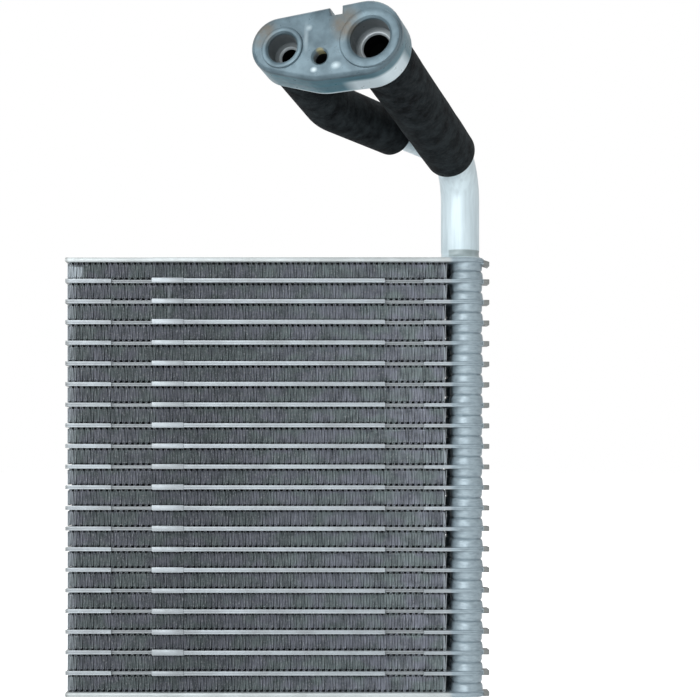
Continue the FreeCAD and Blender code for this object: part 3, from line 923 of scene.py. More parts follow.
@dataclass
class FinStrip:
    """One strip of folded and louvred fin stock, as deep as the core."""

    folds: int = 67
    gauge: float = 0.14 * MM
    crest: float = 0.58 * MM
    arc_steps: int = 4
    jog: float = 1.8 * MM
    jog_length: float = 4.0 * MM
    slat_chord: float = 2.9 * MM
    first_slat: float = 0.34
    front_slats: tuple[float, float] = (6.8 * MM, math.radians(36.0))
    rear_slats: tuple[float, float] = (8.6 * MM, math.radians(-36.0))
    slats_per_bank: int = 7
    fillet_width: float = 1.35 * MM
    fillet_height: float = 1.2 * MM
    fillet_recess: float = 2.4 * MM
    doubled: float = 0.02 * MM
    wanders: tuple[Wander, ...] = (Wander(420, 25, 3.1, 0.10 * MM), Wander(45, 8, 5.3, 0.25 * MM))
    held_end: float = 4.0 * MM
    loose_end: float = 12.0 * MM
    loose_front: tuple[float, float] = (2.0 * MM, 8.0 * MM)
    end_wander: tuple[float, float] = (1.7, 0.5)

    def __post_init__(self) -> None:
        """Read the strip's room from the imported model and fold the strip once."""
        self.low, self.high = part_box("fin_01")
        self.pitch = (self.high.x - self.low.x) / (self.folds + 0.5)
        self.start = self.low.x + self.pitch / 2
        self.rise = self.high.z - self.low.z - 2 * self.crest - self.gauge
        self.middle = (self.low.z + self.high.z) / 2
        self.depth = self.high.y - self.low.y
        self.bank = (self.depth - self.jog_length) / 2
        self.base = self.folded()

    def folded(self) -> bpy.types.Mesh:
        """Fold the strip: a wave of round crests, drawn back through the core, with its louvres.

        Returns:
            The strip's mesh, in the place of the lowest row.
        """
        bench = Bench()
        self.draw_wave(bench)
        self.draw_back(bench.bm)
        bmesh.ops.solidify(bench.bm, geom=bench.bm.faces[:], thickness=self.gauge)
        slats = self.slats()
        bench.bm.from_mesh(slats)
        bpy.data.meshes.remove(slats)
        leg = Vector((self.low.x + self.gauge, self.low.y + self.depth / 2, self.middle))
        bench.bar(leg, (self.gauge, self.depth, self.rise))
        bench.face_outwards()
        return bench.mesh("folded_strip")

    def draw_wave(self, bench: Bench) -> None:
        """Lay the wave's edges along the front of the strip.

        Args:
            bench: The bench to draw on.
        """
        bm = bench.bm
        steps = self.arc_steps
        half = self.pitch / 2
        span = math.hypot(half, self.rise)
        lean = math.acos(2 * self.crest / span) - math.atan2(self.rise, half)
        sweep = math.pi - 2 * lean
        crest = Vector((self.start, self.low.y, self.middle + self.rise / 2))
        trough = crest + Vector((half, 0, -self.rise))
        reach = self.crest * math.cos(lean)
        lift = self.crest * math.sin(lean)
        up = bm.verts.new(crest + Vector((-reach, 0, lift)))
        over = bmesh.ops.spin(bm, geom=[up], cent=crest, axis=(0, 1, 0), angle=sweep, steps=steps)
        down = bm.verts.new(trough + Vector((-reach, 0, -lift)))
        under = bmesh.ops.spin(bm, geom=[down], cent=trough, axis=(0, -1, 0), angle=sweep, steps=steps)
        bm.edges.new((over["geom_last"][0], down))
        onward = bm.verts.new(up.co + Vector((self.pitch, 0, 0)))
        bm.edges.new((under["geom_last"][0], onward))
        self.repeat(bench)
        lead = bm.verts.new(trough + Vector((reach - self.pitch, 0, -lift)))
        bm.edges.new((lead, up))
        bmesh.ops.remove_doubles(bm, verts=bm.verts[:], dist=self.doubled)

    def repeat(self, bench: Bench) -> None:
        """Repeat what is on a bench once for each fold, doubling it as far as that goes.

        Args:
            bench: The bench that holds one fold.
        """
        one = bench.everything()
        done = 1
        while done < self.folds:
            count = min(done, self.folds - done)
            doubled = count == done
            source = bench.everything() if doubled else one
            for turn in range(1 if doubled else count):
                copied = bmesh.ops.duplicate(bench.bm, geom=source)["geom"]
                bmesh.ops.translate(bench.bm, verts=verts_of(copied), vec=(self.pitch * (done + turn), 0, 0))
            done += count

    def draw_back(self, bm: bmesh.types.BMesh) -> None:
        """Draw the wave back through the core, with a sideways jog halfway.

        Args:
            bm: The bmesh that holds the wave.
        """
        edges = bm.edges[:]
        for shift, length in ((0.0, self.bank), (self.jog, self.jog_length), (0.0, self.bank)):
            grown = bmesh.ops.extrude_edge_only(bm, edges=edges)["geom"]
            edges = edges_among(grown)
            bmesh.ops.translate(bm, verts=verts_of(grown), vec=(shift, length, 0))

    def slats(self) -> bpy.types.Mesh:
        """Cut the louvres: thin slats across each leg, turned one way in front and the other behind.

        Returns:
            The mesh of the louvres and the braze fillets.
        """
        bench = Bench()
        spacing = self.bank / self.slats_per_bank
        lean = math.atan2(self.pitch / 2 - 2 * self.crest, self.rise)
        for side in (-1, 1):
            x = self.start + side * self.pitch / 4
            lie = Matrix.Rotation(-side * lean, 4, "Y")
            for back, (height, tilt) in enumerate((self.front_slats, self.rear_slats)):
                turn = lie @ Matrix.Rotation(tilt, 4, "Z")
                bank_start = self.low.y + back * (self.bank + self.jog_length)
                for number in range(self.slats_per_bank):
                    y = bank_start + spacing * (number + self.first_slat)
                    middle = Vector((x + back * self.jog, y, self.middle))
                    bench.bar(middle, (self.gauge, self.slat_chord, height), turn)
        self.fillets(bench)
        self.repeat(bench)
        return bench.mesh("slats")

    def fillets(self, bench: Bench) -> None:
        """Fill the corners where one fold is brazed to the plates above and below.

        Args:
            bench: The bench to draw on.
        """
        depth = self.depth - self.fillet_recess
        reach = (self.high.z - self.low.z - self.fillet_height) / 2
        for shift, side in ((0.0, 1), (self.pitch / 2, -1)):
            middle = Vector((self.start + shift, self.high.y - depth / 2, self.middle + side * reach))
            bench.bar(middle, (self.fillet_width, depth, self.fillet_height))

    def place(self, row: int, material: bpy.types.Material) -> None:
        """Set a copy of the strip in its row, a little uneven as such strips are.

        Args:
            row: The row, counted from 1 at the bottom.
            material: Its finish.
        """
        node = f"fin_{row:02d}"
        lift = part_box(node)[0].z - self.low.z
        bench = Bench()
        bench.bm.from_mesh(self.base)
        along, up = self.end_wander
        end_shift = noise.noise(Vector((row * along, up, SEED))) * MM
        fast, slow = self.wanders
        front_start, front_end = self.loose_front
        for vert in bench.bm.verts:
            x, y, z = vert.co
            uneven = fast.shift(x, y, row) + slow.shift(x, y, row)
            inner = smoothstep(0, self.held_end, min(x - self.low.x, self.high.x - x))
            near_end = smoothstep(self.high.x - self.loose_end, self.high.x, x)
            near_front = 1 - smoothstep(self.low.y + front_start, self.low.y + front_end, y)
            vert.co.x = x + inner * uneven - near_end * near_front * end_shift
            vert.co.z = z + lift
        bench.finish(f"louvred_fin_{row:02d}", node, "fin", material)


@dataclass(frozen=True)
class CupForm:
    """The section of a drawn cup, which differs between cups that point up and cups that point down."""

    half: float
    root: float
    lean: float


@dataclass
class StampedPlate:
    """What the plates of the core share: their outline and the drawn cups of the tanks."""

    heel_front: float = -30.3 * MM
    notch_front: float = -28.4 * MM
    land_front: float = -32.5 * MM
    tank_front: float = -31.7 * MM
    heel_length: float = 24.4 * MM
    first_notch: float = 21.8 * MM
    land_length: float = 124.0 * MM
    second_notch: float = 20.8 * MM
    cup_half: float = 8.2 * MM
    upper_cup: CupForm = CupForm(8.5 * MM, 0.8 * MM, 0.2 * MM)
    lower_cup: CupForm = CupForm(8.0 * MM, 0.4 * MM, 0.1 * MM)
    cup_sunk: float = 0.03 * MM
    cup_shoulder: float = 2.1 * MM
    cup_shoulder_turn: float = math.radians(54.0)
    cup_steps: int = 4
    cup_rim: float = 3.25 * MM
    cup_front_rim: float = 1.0 * MM
    cup_web: float = 3.2 * MM
    cup_segments: int = 32
    ear_reach: float = 2.2 * MM
    ear_front: float = -27.0 * MM
    ear_size: Triple = (6.0 * MM, 10.0 * MM, 2.6 * MM)
    ear_edge: float = 0.25 * MM
    corner_segments: int = 9
    edge: float = 0.16 * MM

    def __post_init__(self) -> None:
        """Read the plates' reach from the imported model."""
        low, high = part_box("tube_plates_01")
        self.left = low.x
        self.right = high.x
        self.back = high.y
        self.cup_x = high.x - self.cup_half - self.cup_rim
        self.land_left = self.left + self.heel_length + self.first_notch
        self.tank_end = self.right - self.ear_reach

    def sheet(self, bench: Bench, corners: list[tuple[float, float]], gauge: float) -> None:
        """Cut a sheet to its outline, round it at the tank end, and give it its gauge.

        Args:
            bench: The bench to draw on.
            corners: The outline, anticlockwise, with the two tank corners at its right end.
            gauge: Thickness of the sheet, upwards from the middle plane.
        """
        bm = bench.bm
        verts = [bm.verts.new((x, y, 0.0)) for x, y in corners]
        bm.faces.new(verts)
        ends = [vert for vert in verts if vert.co.x > self.tank_end - MM]
        bmesh.ops.bevel(
            bm, geom=ends, offset=self.tank_end - self.cup_x, affect="VERTICES",
            segments=self.corner_segments, profile=0.5, material=-1,
        )
        grown = bmesh.ops.extrude_face_region(bm, geom=bm.faces[:])["geom"]
        bmesh.ops.translate(bm, verts=verts_of(grown), vec=UP * gauge)
        bench.face_outwards()
        level = [edge for edge in bm.edges if abs(edge.verts[0].co.z - edge.verts[1].co.z) < gauge / 2]
        bench.round_off(level, self.edge)

    def cups(self, bench: Bench, base: float, height: float, upwards: bool) -> None:
        """Draw the front and the rear tank cup out of a sheet.

        Args:
            bench: The bench to draw on.
            base: Distance of the sheet's face from the middle plane.
            height: Height of the cups above that face.
            upwards: False for cups that point down.
        """
        before = set(bench.bm.verts)
        self.cup(bench, self.tank_front + self.cup_front_rim, -self.cup_web / 2, base, height, upwards)
        self.cup(bench, self.cup_web / 2, self.back - self.cup_rim, base, height, upwards)
        if not upwards:
            bench.flip([vert for vert in bench.bm.verts if vert not in before])

    def section(self, form: CupForm, height: float) -> Profile:
        """Give a cup's section: a rounded root, a steep wall and a rounded mouth.

        Args:
            form: The measures of the section.
            height: Height of the cup.

        Returns:
            How far the wall stands out, and its height, from the root up.
        """
        root = []
        mouth = []
        shoulder_base = height - self.cup_shoulder * math.sin(self.cup_shoulder_turn)
        for step in range(self.cup_steps + 1):
            angle = math.pi / 2 * step / self.cup_steps
            flare = form.root * (1 - math.sin(angle))
            root.append((flare, form.root * (1 - math.cos(angle)) - self.cup_sunk))
            angle = self.cup_shoulder_turn * step / self.cup_steps
            inset = form.lean + self.cup_shoulder * (1 - math.cos(angle))
            mouth.append((-inset, shoulder_base + self.cup_shoulder * math.sin(angle)))
        return root + mouth

    def cup(self, bench: Bench, start: float, end: float, base: float, height: float, upwards: bool) -> None:
        """Draw one long cup.

        Args:
            bench: The bench to draw on.
            start: Front end of the cup's wall.
            end: Back end of the cup's wall.
            base: Height of the sheet's face.
            height: Height of the cup above it.
            upwards: False for a cup that will point down.
        """
        form = self.upper_cup if upwards else self.lower_cup
        loops = []
        slide = (end - start) / 2 - form.half
        middle = (start + end) / 2
        turn = Matrix.Rotation(math.pi / self.cup_segments, 4, "Z")
        for offset, lift in self.section(form, height):
            place = Matrix.Translation((self.cup_x, middle, base + lift)) @ turn
            ring = bmesh.ops.create_circle(
                bench.bm, segments=self.cup_segments, radius=form.half + offset, matrix=place
            )["verts"]
            for vert in ring:
                vert.co.y += slide if vert.co.y > middle else -slide
            loops.append(edges_at(ring))
        bench.bridge(loops)
        bmesh.ops.edgeloop_fill(bench.bm, edges=loops[0])
        bmesh.ops.edgeloop_fill(bench.bm, edges=loops[-1])

    def ear(self, bench: Bench, height: float) -> None:
        """Let the sheets stand out together as a thicker ear beside the tank.

        Args:
            bench: The bench to draw on.
            height: Height of the ear's middle.
        """
        length, depth, _ = self.ear_size
        middle = Vector((self.right - length / 2, self.ear_front + depth / 2, height))
        bench.bar(middle, self.ear_size, LEVEL, self.ear_edge)


@dataclass
class PlatePair(StampedPlate):
    """Two stamped plates that lie face to face, with a crimp tab on their long front land."""

    gauge: float = 0.9 * MM
    tab_length: float = 17.0 * MM
    tab_thickness: float = 2.7 * MM
    tab_lift: float = 0.25 * MM
    tab_out: float = 0.5 * MM
    tab_in: float = 1.4 * MM
    tab_edge: float = 0.35 * MM
    tab_spread: float = 0.28
    tab_wander: float = 0.2 * MM
    tab_noise: Triple = (2.3, 1.1, 4.2)
    hem_rise: float = 0.38 * MM
    hem_depth: float = 1.6 * MM
    hem_out: float = 0.04 * MM
    hem_edge: float = 0.18 * MM

    def notched_corners(self) -> list[tuple[float, float]]:
        """Give the outline of a tube plate.

        Returns:
            Its corners, anticlockwise from the front left.
        """
        first = self.left + self.heel_length
        third = self.land_left + self.land_length
        fourth = third + self.second_notch
        return [
            (self.left, self.heel_front),
            (first, self.heel_front),
            (first, self.notch_front),
            (self.land_left, self.notch_front),
            (self.land_left, self.land_front),
            (third, self.land_front),
            (third, self.notch_front),
            (fourth, self.notch_front),
            (fourth, self.tank_front),
            (self.tank_end, self.tank_front),
            (self.tank_end, self.back),
            (self.left, self.back),
        ]

    def place(self, row: int, material: bpy.types.Material) -> None:
        """Build one pair in its row.

        Args:
            row: The pair, counted from 1 at the bottom.
            material: Its finish.
        """
        node = f"tube_plates_{row:02d}"
        low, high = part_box(node)
        bench = Bench()
        cup_height = (high.z - low.z) / 2 - self.gauge
        self.sheet(bench, self.notched_corners(), self.gauge)
        bmesh.ops.mirror(bench.bm, geom=bench.everything(), axis="Z", merge_dist=-1.0)
        self.cups(bench, self.gauge, cup_height, True)
        self.cups(bench, self.gauge, cup_height, False)
        self.hem(bench, self.left, self.heel_length, self.heel_front)
        self.hem(bench, self.land_left, self.land_length, self.land_front)
        self.ear(bench, 0.0)
        self.tab(bench, row)
        bench.face_outwards()
        bench.lift((low.z + high.z) / 2)
        bench.finish(f"plate_pair_{row:02d}", node, "plate", material)

    def tab(self, bench: Bench, row: int) -> None:
        """Fold the crimp tab that holds the pair together.

        Args:
            bench: The bench to draw on.
            row: The pair, which makes each tab a little different.
        """
        step, side, up = self.tab_noise
        uneven = noise.noise(Vector((row * step, side, up)))
        thickness = self.tab_thickness * (1 + self.tab_spread * uneven)
        depth = self.tab_out + self.tab_in
        y = self.land_front - self.tab_out + depth / 2
        middle = Vector((self.land_left + self.tab_length / 2, y, self.tab_lift + self.tab_wander * uneven))
        bench.bar(middle, (self.tab_length, depth, thickness), LEVEL, self.tab_edge)

    def hem(self, bench: Bench, start: float, length: float, front: float) -> None:
        """Fold the upper sheet's front edge over into a low hem.

        Args:
            bench: The bench to draw on.
            start: Left end of the hem.
            length: How long it is.
            front: Where the sheet's front edge is.
        """
        height = self.hem_rise + self.gauge / 2
        y = front + self.hem_depth / 2 - self.hem_out
        middle = Vector((start + length / 2, y, self.gauge + self.hem_rise - height / 2))
        bench.bar(middle, (length, self.hem_depth, height), LEVEL, self.hem_edge)


@dataclass
class EndPlate(StampedPlate):
    """The thicker plate that closes the stack at one end, with its cups towards the core."""

    gauge: float = 2.4 * MM
    set_back: float = 1.2 * MM
    edge: float = 0.6 * MM
    droop: float = 1.8 * MM
    droop_length: float = 4.5 * MM

    def place(self, node: str, upside_down: bool, material: bpy.types.Material) -> None:
        """Build one end plate.

        Args:
            node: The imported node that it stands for.
            upside_down: True for the top plate, whose cups point down.
            material: Its finish.
        """
        low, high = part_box(node)
        corners = [
            (self.left, self.land_front + self.set_back),
            (self.land_left, self.land_front + self.set_back),
            (self.land_left, self.land_front),
            (self.tank_end, self.land_front),
            (self.tank_end, self.back),
            (self.left, self.back),
        ]
        bench = Bench()
        self.sheet(bench, corners, self.gauge)
        self.ear(bench, self.ear_size[2] / 2)
        if upside_down:
            bench.flip(bench.bm.verts[:])
        self.cups(bench, self.gauge, high.z - low.z - self.gauge, not upside_down)
        if upside_down:
            for vert in bench.bm.verts:
                vert.co.z -= self.droop * smoothstep(self.right - self.droop_length, self.right, vert.co.x)
        bench.face_outwards()
        bench.lift(high.z if upside_down else low.z)
        bench.finish(node + "_dressed", node, "end_plate", material)


@dataclass
class BlockFrame:
    """Where the connection block is, read from the record's two ports."""

    thickness: float = 20.0 * MM
    boss_height: float = 1.2 * MM

    def __post_init__(self) -> None:
        """Work out the block's own axes: X along the ports, Y inward and Z up."""
        large = record_mount("suction_port")
        small = record_mount("liquid_port")
        self.inward = -Vector(large["axis"])
        self.suction = Vector(large["pos_m"]) + self.inward * self.boss_height
        self.liquid = Vector(small["pos_m"]) + self.inward * self.boss_height
        self.spacing = (self.suction - self.liquid).length
        along = (self.suction - self.liquid).normalized()
        up = along.cross(self.inward).normalized()
        turn = Matrix((along, self.inward, up)).transposed().to_4x4()
        self.matrix = Matrix.Translation(self.suction) @ turn
        self.local = self.matrix.inverted()
        self.bolt = self.local @ Vector(record_mount("bolt_hole")["pos_m"])

    def back(self, port: Vector) -> Vector:
        """Give the place behind a port where its pipe starts."""
        return port + self.inward * self.thickness


@dataclass(frozen=True)
class Lobe:
    """One round end of the block's outline, in the block's own X and Z."""

    x: float
    z: float
    radius: float


@dataclass(frozen=True)
class NotchCorner:
    """A corner of the block's notch, in millimetres, and the side that it is drawn in from."""

    x: float
    depth: float
    side: int


@dataclass
class ConnectionBlock:
    """The block that both pipes end in: a lobed plate with two ringed ports and a bolt hole."""

    where: BlockFrame
    arc_steps: int = 22
    ring_segments: int = 72
    smooth_angle: float = 28.0
    notch_corners: tuple[NotchCorner, ...] = (
        NotchCorner(-14.1, 0.0, 1),
        NotchCorner(-14.4, 4.3, 1),
        NotchCorner(-19.4, 4.1, -1),
        NotchCorner(-20.2, 0.0, -1),
    )
    notch_inset: float = 0.45
    thread_pitch: float = 1.25
    thread_start: float = 0.9
    thread_end: float = 18.0
    thread_root: float = 3.8
    thread_crest: float = 3.35

    def __post_init__(self) -> None:
        """Place the outline's round ends: large, small, and the wide curve under the bolt."""
        self.lobes = [
            Lobe(-3.0 * MM, 1.3 * MM, 17.9 * MM),
            Lobe(-self.where.spacing - 2.2 * MM, 2.2 * MM, 13.6 * MM),
            Lobe(self.where.bolt.x, self.where.bolt.z + 15.1 * MM, 26.0 * MM),
        ]

    def outline(self, bm: bmesh.types.BMesh, inset: float, y: float) -> Edges:
        """Draw the block's outline, with the notch in its top edge.

        Args:
            bm: The bmesh to draw in.
            inset: How far the outline is drawn in.
            y: How deep in the block it lies.

        Returns:
            The outline's edges.
        """
        normals = []
        for here, there in zip(self.lobes, self.lobes[1:] + self.lobes[:1]):
            way = Vector((there.x - here.x, 0, there.z - here.z))
            lean = (here.radius - there.radius) / way.length
            way.normalize()
            out = Vector((way.z, 0, -way.x))
            normals.append(way * lean + out * math.sqrt(1 - lean * lean))
        verts = []
        for number, lobe in enumerate(self.lobes):
            enter = normals[number - 1]
            leave = normals[number]
            centre = Vector((lobe.x, y, lobe.z))
            angle = self.turned_by(enter, leave)
            first = bm.verts.new(centre + enter * (lobe.radius - inset))
            before = set(bm.verts)
            bmesh.ops.spin(bm, geom=[first], cent=centre, axis=(0, -1, 0), angle=angle, steps=self.arc_steps)
            made = [vert for vert in bm.verts if vert not in before]
            made.sort(key=lambda vert: self.turned_by(enter, vert.co - centre))
            verts += [first, *made]
            if number == 0:
                verts += self.notch(bm, leave, inset, y)
        for edge in edges_at(verts):
            bm.edges.remove(edge)
        return [bm.edges.new((first, second)) for first, second in zip(verts, verts[1:] + verts[:1])]

    @staticmethod
    def turned_by(start: Vector, arm: Vector) -> float:
        """Give the angle from one direction to another, anticlockwise seen from the front."""
        return (math.atan2(arm.z, arm.x) - math.atan2(start.z, start.x)) % TURN

    def notch(self, bm: bmesh.types.BMesh, out: Vector, inset: float, y: float) -> list[bmesh.types.BMVert]:
        """Draw the notch in the top edge, from its right side to its left.

        Args:
            bm: The bmesh to draw in.
            out: The top edge's outward normal.
            inset: How far the outline is drawn in.
            y: How deep in the block it lies.

        Returns:
            The notch's corners.
        """
        large = self.lobes[0]
        along = Vector((out.z, 0, -out.x))
        origin = Vector((large.x, y, large.z))
        drawn_in = self.notch_inset * inset
        verts = []
        for corner in self.notch_corners:
            reach = (corner.x * MM + corner.side * drawn_in - large.x - out.x * large.radius) / along.x
            drop = corner.depth * MM + (drawn_in if corner.depth else inset)
            verts.append(bm.verts.new(origin + along * reach + out * (large.radius - drop)))
        return verts

    def place(self, material: bpy.types.Material) -> None:
        """Build the block.

        Args:
            material: Its finish.
        """
        bench = Bench()
        bm = bench.bm
        loops = [self.outline(bm, inset * MM, depth * MM) for inset, depth in self.wall()]
        bench.bridge(loops)
        bolt = self.where.bolt
        small_x = -self.where.spacing
        front = loops[0]
        back = loops[-1]
        holes = (
            (0.0, 0.0, self.large_bore()),
            (small_x, 0.0, self.small_bore()),
            (bolt.x, bolt.z, self.bolt_hole()),
        )
        for x, z, profile in holes:
            first, last = self.turn(bm, x, z, profile)
            front = front + first
            back = back + last
        bmesh.ops.triangle_fill(bm, use_beauty=True, edges=front, normal=(0, -1, 0))
        bmesh.ops.triangle_fill(bm, use_beauty=True, edges=back, normal=(0, 1, 0))
        bench.merge()
        for x, profile in ((0.0, self.large_ring()), (small_x, self.small_ring())):
            bench.bridge(list(self.turn(bm, x, 0.0, profile)))
        bench.face_outwards()
        bmesh.ops.transform(bm, matrix=self.where.matrix, verts=bm.verts[:])
        bench.finish("ported_block", "connection_block", "block", material, self.smooth_angle)

    def turn(self, bm: bmesh.types.BMesh, x: float, z: float, profile: Profile) -> tuple[Edges, Edges]:
        """Turn a profile round an axis that runs through the block.

        Args:
            bm: The bmesh to draw in.
            x: The axis' place along the block.
            z: The axis' height in the block.
            profile: Radius and depth in millimetres.

        Returns:
            The edges of the first and of the last ring.
        """
        radius, depth = profile[0]
        sweep = Sweep(bm, Vector((x, depth * MM, z)), Vector((0, 1, 0)), radius * MM, self.ring_segments)
        first = sweep.edges
        for (_, before), (radius, depth) in zip(profile, profile[1:]):
            sweep.run((depth - before) * MM, radius * MM)
        return first, sweep.edges

    def wall(self) -> Profile:
        """Give the outer wall with its rounded edges.

        Returns:
            How far the outline is drawn in and how deep it lies, in millimetres, from the face back.
        """
        rear = self.where.thickness / MM
        return [
            (2.2, 0.0), (1.5, 0.15), (0.85, 0.5), (0.35, 1.1), (0.08, 1.8), (0.0, 2.6),
            (0.0, rear - 3.4), (0.1, rear - 2.3), (0.45, rear - 1.3), (1.05, rear - 0.55), (1.9, rear),
        ]

    @staticmethod
    def large_bore() -> Profile:
        """Give the large port's bore, as radius and depth in millimetres."""
        return [(9.65, 0.0), (9.65, 9.6), (9.3, 10.0), (7.4, 10.0), (6.9, 10.25), (6.4, 11.0), (6.4, 20.0)]

    @staticmethod
    def small_bore() -> Profile:
        """Give the small port's bore, as radius and depth in millimetres."""
        return [(7.25, 0.0), (7.25, 10.2), (7.0, 10.5), (5.2, 10.5), (4.8, 10.75), (4.2, 11.4), (4.2, 20.0)]

    @staticmethod
    def large_ring() -> Profile:
        """Give the large port's raised ring, from its sunk outside round to its sunk inside."""
        return [
            (14.1, 2.4), (14.5, -0.2), (14.4, -0.7), (14.15, -1.05), (13.7, -1.2), (11.2, -1.2),
            (10.6, -1.0), (9.85, -0.2), (9.66, 0.05), (9.95, 0.5), (9.95, 2.4),
        ]

    @staticmethod
    def small_ring() -> Profile:
        """Give the small port's raised ring, from its sunk outside round to its sunk inside."""
        return [
            (9.7, 2.4), (10.1, -0.2), (10.0, -0.7), (9.8, -1.05), (9.4, -1.2), (8.4, -1.2),
            (7.9, -1.0), (7.4, -0.2), (7.26, 0.05), (7.6, 0.5), (7.6, 2.4),
        ]

    def bolt_hole(self) -> Profile:
        """Give the bolt hole, with the crests and roots of its thread.

        Returns:
            Radius and depth in millimetres, from the block's face inwards.
        """
        profile = [(4.3, 0.0), (3.75, 0.5)]
        depth = self.thread_start
        while depth < self.thread_end:
            profile += [(self.thread_crest, depth), (self.thread_root, depth + self.thread_pitch / 2)]
            depth += self.thread_pitch
        return [*profile, (3.6, 19.3), (4.0, 20.0)]


@dataclass
class BentPipe:
    """What both pipes share: a flared foot, straight runs, round bends and an open end at the block."""

    where: BlockFrame
    radius: float
    wall: float
    segments: int
    flare: float = 1.9 * MM
    neck: float = 0.2 * MM
    hollow: float = 30.0 * MM
    end_rings: int = 2

    def foot_profile(self) -> Profile:
        """Give the flared foot with the shallow neck above it.

        Returns:
            The length of each short run and the radius at its end.
        """
        neck = self.radius - self.neck
        return [
            (0.4 * MM, self.radius + self.flare),
            (0.4 * MM, self.radius + self.flare * 0.6),
            (0.5 * MM, self.radius + self.flare * 0.25),
            (0.6 * MM, self.radius),
            (0.5 * MM, neck),
            (1.6 * MM, neck),
            (0.6 * MM, self.radius),
        ]

    def draw(self, foot: Vector, corners: list[Vector], bends: list[tuple[float, int]]) -> Bench:
        """Draw the pipe up from its foot, round its corners and into the block.

        Args:
            foot: Middle of the foot.
            corners: The corners of its route, and its end at the block.
            bends: Radius and rings of the bend at each corner.

        Returns:
            The bench with the pipe on it.
        """
        bench = Bench()
        sweep = Sweep(bench.bm, foot, UP, self.radius + self.flare, self.segments)
        sweep.close()
        sweep.steps(self.foot_profile())
        for corner, onward, (radius, rings) in zip(corners, corners[1:], bends):
            sweep.round_corner(corner, onward, radius, rings)
        sweep.run((corners[-1] - sweep.tip).length, steps=self.end_rings)
        sweep.turn_back(self.radius - self.wall, self.hollow)
        sweep.close()
        bench.merge()
        bench.face_outwards()
        return bench


@dataclass
class SuctionPipe(BentPipe):
    """The large pipe from the front tank, bent once towards the block."""

    radius: float = 10.3 * MM
    wall: float = 1.6 * MM
    segments: int = 64
    bend: tuple[float, int] = (24.0 * MM, 22)
    reach: float = 168.0 * MM

    def place(self, top: float, material: bpy.types.Material) -> None:
        """Build the pipe.

        Args:
            top: Height of the plate that it stands on.
            material: Its finish.
        """
        corner = self.where.suction + self.where.inward * self.reach
        foot = Vector((corner.x, corner.y, top))
        bench = self.draw(foot, [corner, self.where.back(self.where.suction)], [self.bend])
        bench.finish("bent_suction_pipe", "suction_pipe", "pipe", material)


@dataclass
class LiquidPipe(BentPipe):
    """The small pipe from the rear tank, with its tight bend and its slight turn."""

    radius: float = 6.35 * MM
    wall: float = 1.4 * MM
    segments: int = 48
    foot_x: float = 101.7 * MM
    foot_y: float = 15.425 * MM
    height: float = 59.0 * MM
    bend: tuple[float, int] = (20.0 * MM, 18)
    run: float = 51.0 * MM
    turn: tuple[float, int] = (40.0 * MM, 6)

    def route(self, top: float) -> tuple[Vector, list[Vector]]:
        """Give the pipe's route.

        Args:
            top: Height of the plate that the pipe stands on.

        Returns:
            The foot, and a list of the upper corner, the slight turn and the end at the block.
        """
        foot = Vector((self.foot_x, self.foot_y, top))
        back = self.where.back(self.where.liquid)
        return foot, [foot + UP * self.height, back + self.where.inward * self.run, back]

    def place(self, top: float, material: bpy.types.Material) -> None:
        """Build the pipe.

        Args:
            top: Height of the plate that it stands on.
            material: Its finish.
        """
        bench = self.draw(*self.route(top), [self.bend, self.turn])
        bench.finish("bent_liquid_pipe", "liquid_pipe", "pipe", material)


@dataclass
class FoamSleeve:
    """What both sleeves share: a hole for the pipe, a thick wall and rounded ends."""

    where: BlockFrame
    inner: float
    outer: float
    corner: float
    segments: int
    gap: float = 0.2 * MM
    smooth_angle: float = 60.0

    def start(self, port: Vector) -> Vector:
        """Give the middle of the sleeve's first end, just behind a port."""
        return self.where.back(port) + self.where.inward * self.gap

    def begin(self, bench: Bench, start: Vector) -> Sweep:
        """Go from the hole's rim round the first end's edge to the outside.

        Args:
            bench: The bench to draw on.
            start: Middle of the first end.

        Returns:
            The sweep, one corner radius on from the start.
        """
        sweep = Sweep(bench.bm, start, self.where.inward, self.inner, self.segments)
        sweep.steps([
            (0.0, self.outer - self.corner),
            (self.corner * 0.3, self.outer - self.corner * 0.3),
            (self.corner * 0.7, self.outer),
        ])
        return sweep

    def end(self, sweep: Sweep) -> None:
        """Round off the far end and bring it in to the pipe."""
        sweep.steps([
            (self.corner * 0.7, self.outer - self.corner * 0.3),
            (self.corner * 0.3, self.outer - self.corner),
            (0.0, self.inner),
        ])

    def finish(self, bench: Bench, name: str, node: str, material: bpy.types.Material) -> None:
        """Close the sleeve's seams and make it a piece.

        Args:
            bench: The bench with the sleeve on it.
            name: The piece's name.
            node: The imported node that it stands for.
            material: Its finish.
        """
        bench.merge()
        bench.face_outwards()
        bench.finish(name, node, "foam", material, self.smooth_angle)


@dataclass
class SuctionSleeve(FoamSleeve):
    """The foam sleeve on the large pipe's long run."""

    inner: float = 10.5 * MM
    outer: float = 13.5 * MM
    corner: float = 1.0 * MM
    segments: int = 72
    length: float = 127.0 * MM
    rings: int = 24
    hole_rings: int = 2
    ripples: float = 60.0
    ripple: float = 0.25 * MM

    def place(self, material: bpy.types.Material) -> None:
        """Build the sleeve.

        Args:
            material: Its finish.
        """
        start = self.start(self.where.suction)
        bench = Bench()
        sweep = self.begin(bench, start)
        sweep.run(self.length - 2 * self.corner, steps=self.rings)
        self.end(sweep)
        sweep.heading = -sweep.heading
        sweep.run(self.length, steps=self.hole_rings)
        self.roughen(bench, start)
        self.finish(bench, "suction_foam", "suction_foam_sleeve", material)

    def roughen(self, bench: Bench, start: Vector) -> None:
        """Let the sleeve's outside wander a little, as cut foam does, and keep its hole true.

        Args:
            bench: The bench that holds the sleeve.
            start: Middle of the sleeve's first end.
        """
        way = self.where.inward
        for vert in bench.bm.verts:
            arm = vert.co - start
            out = arm - way * arm.dot(way)
            if out.length > self.inner + 0.5 * MM:
                vert.co += out.normalized() * (noise.noise(vert.co * self.ripples) * self.ripple)


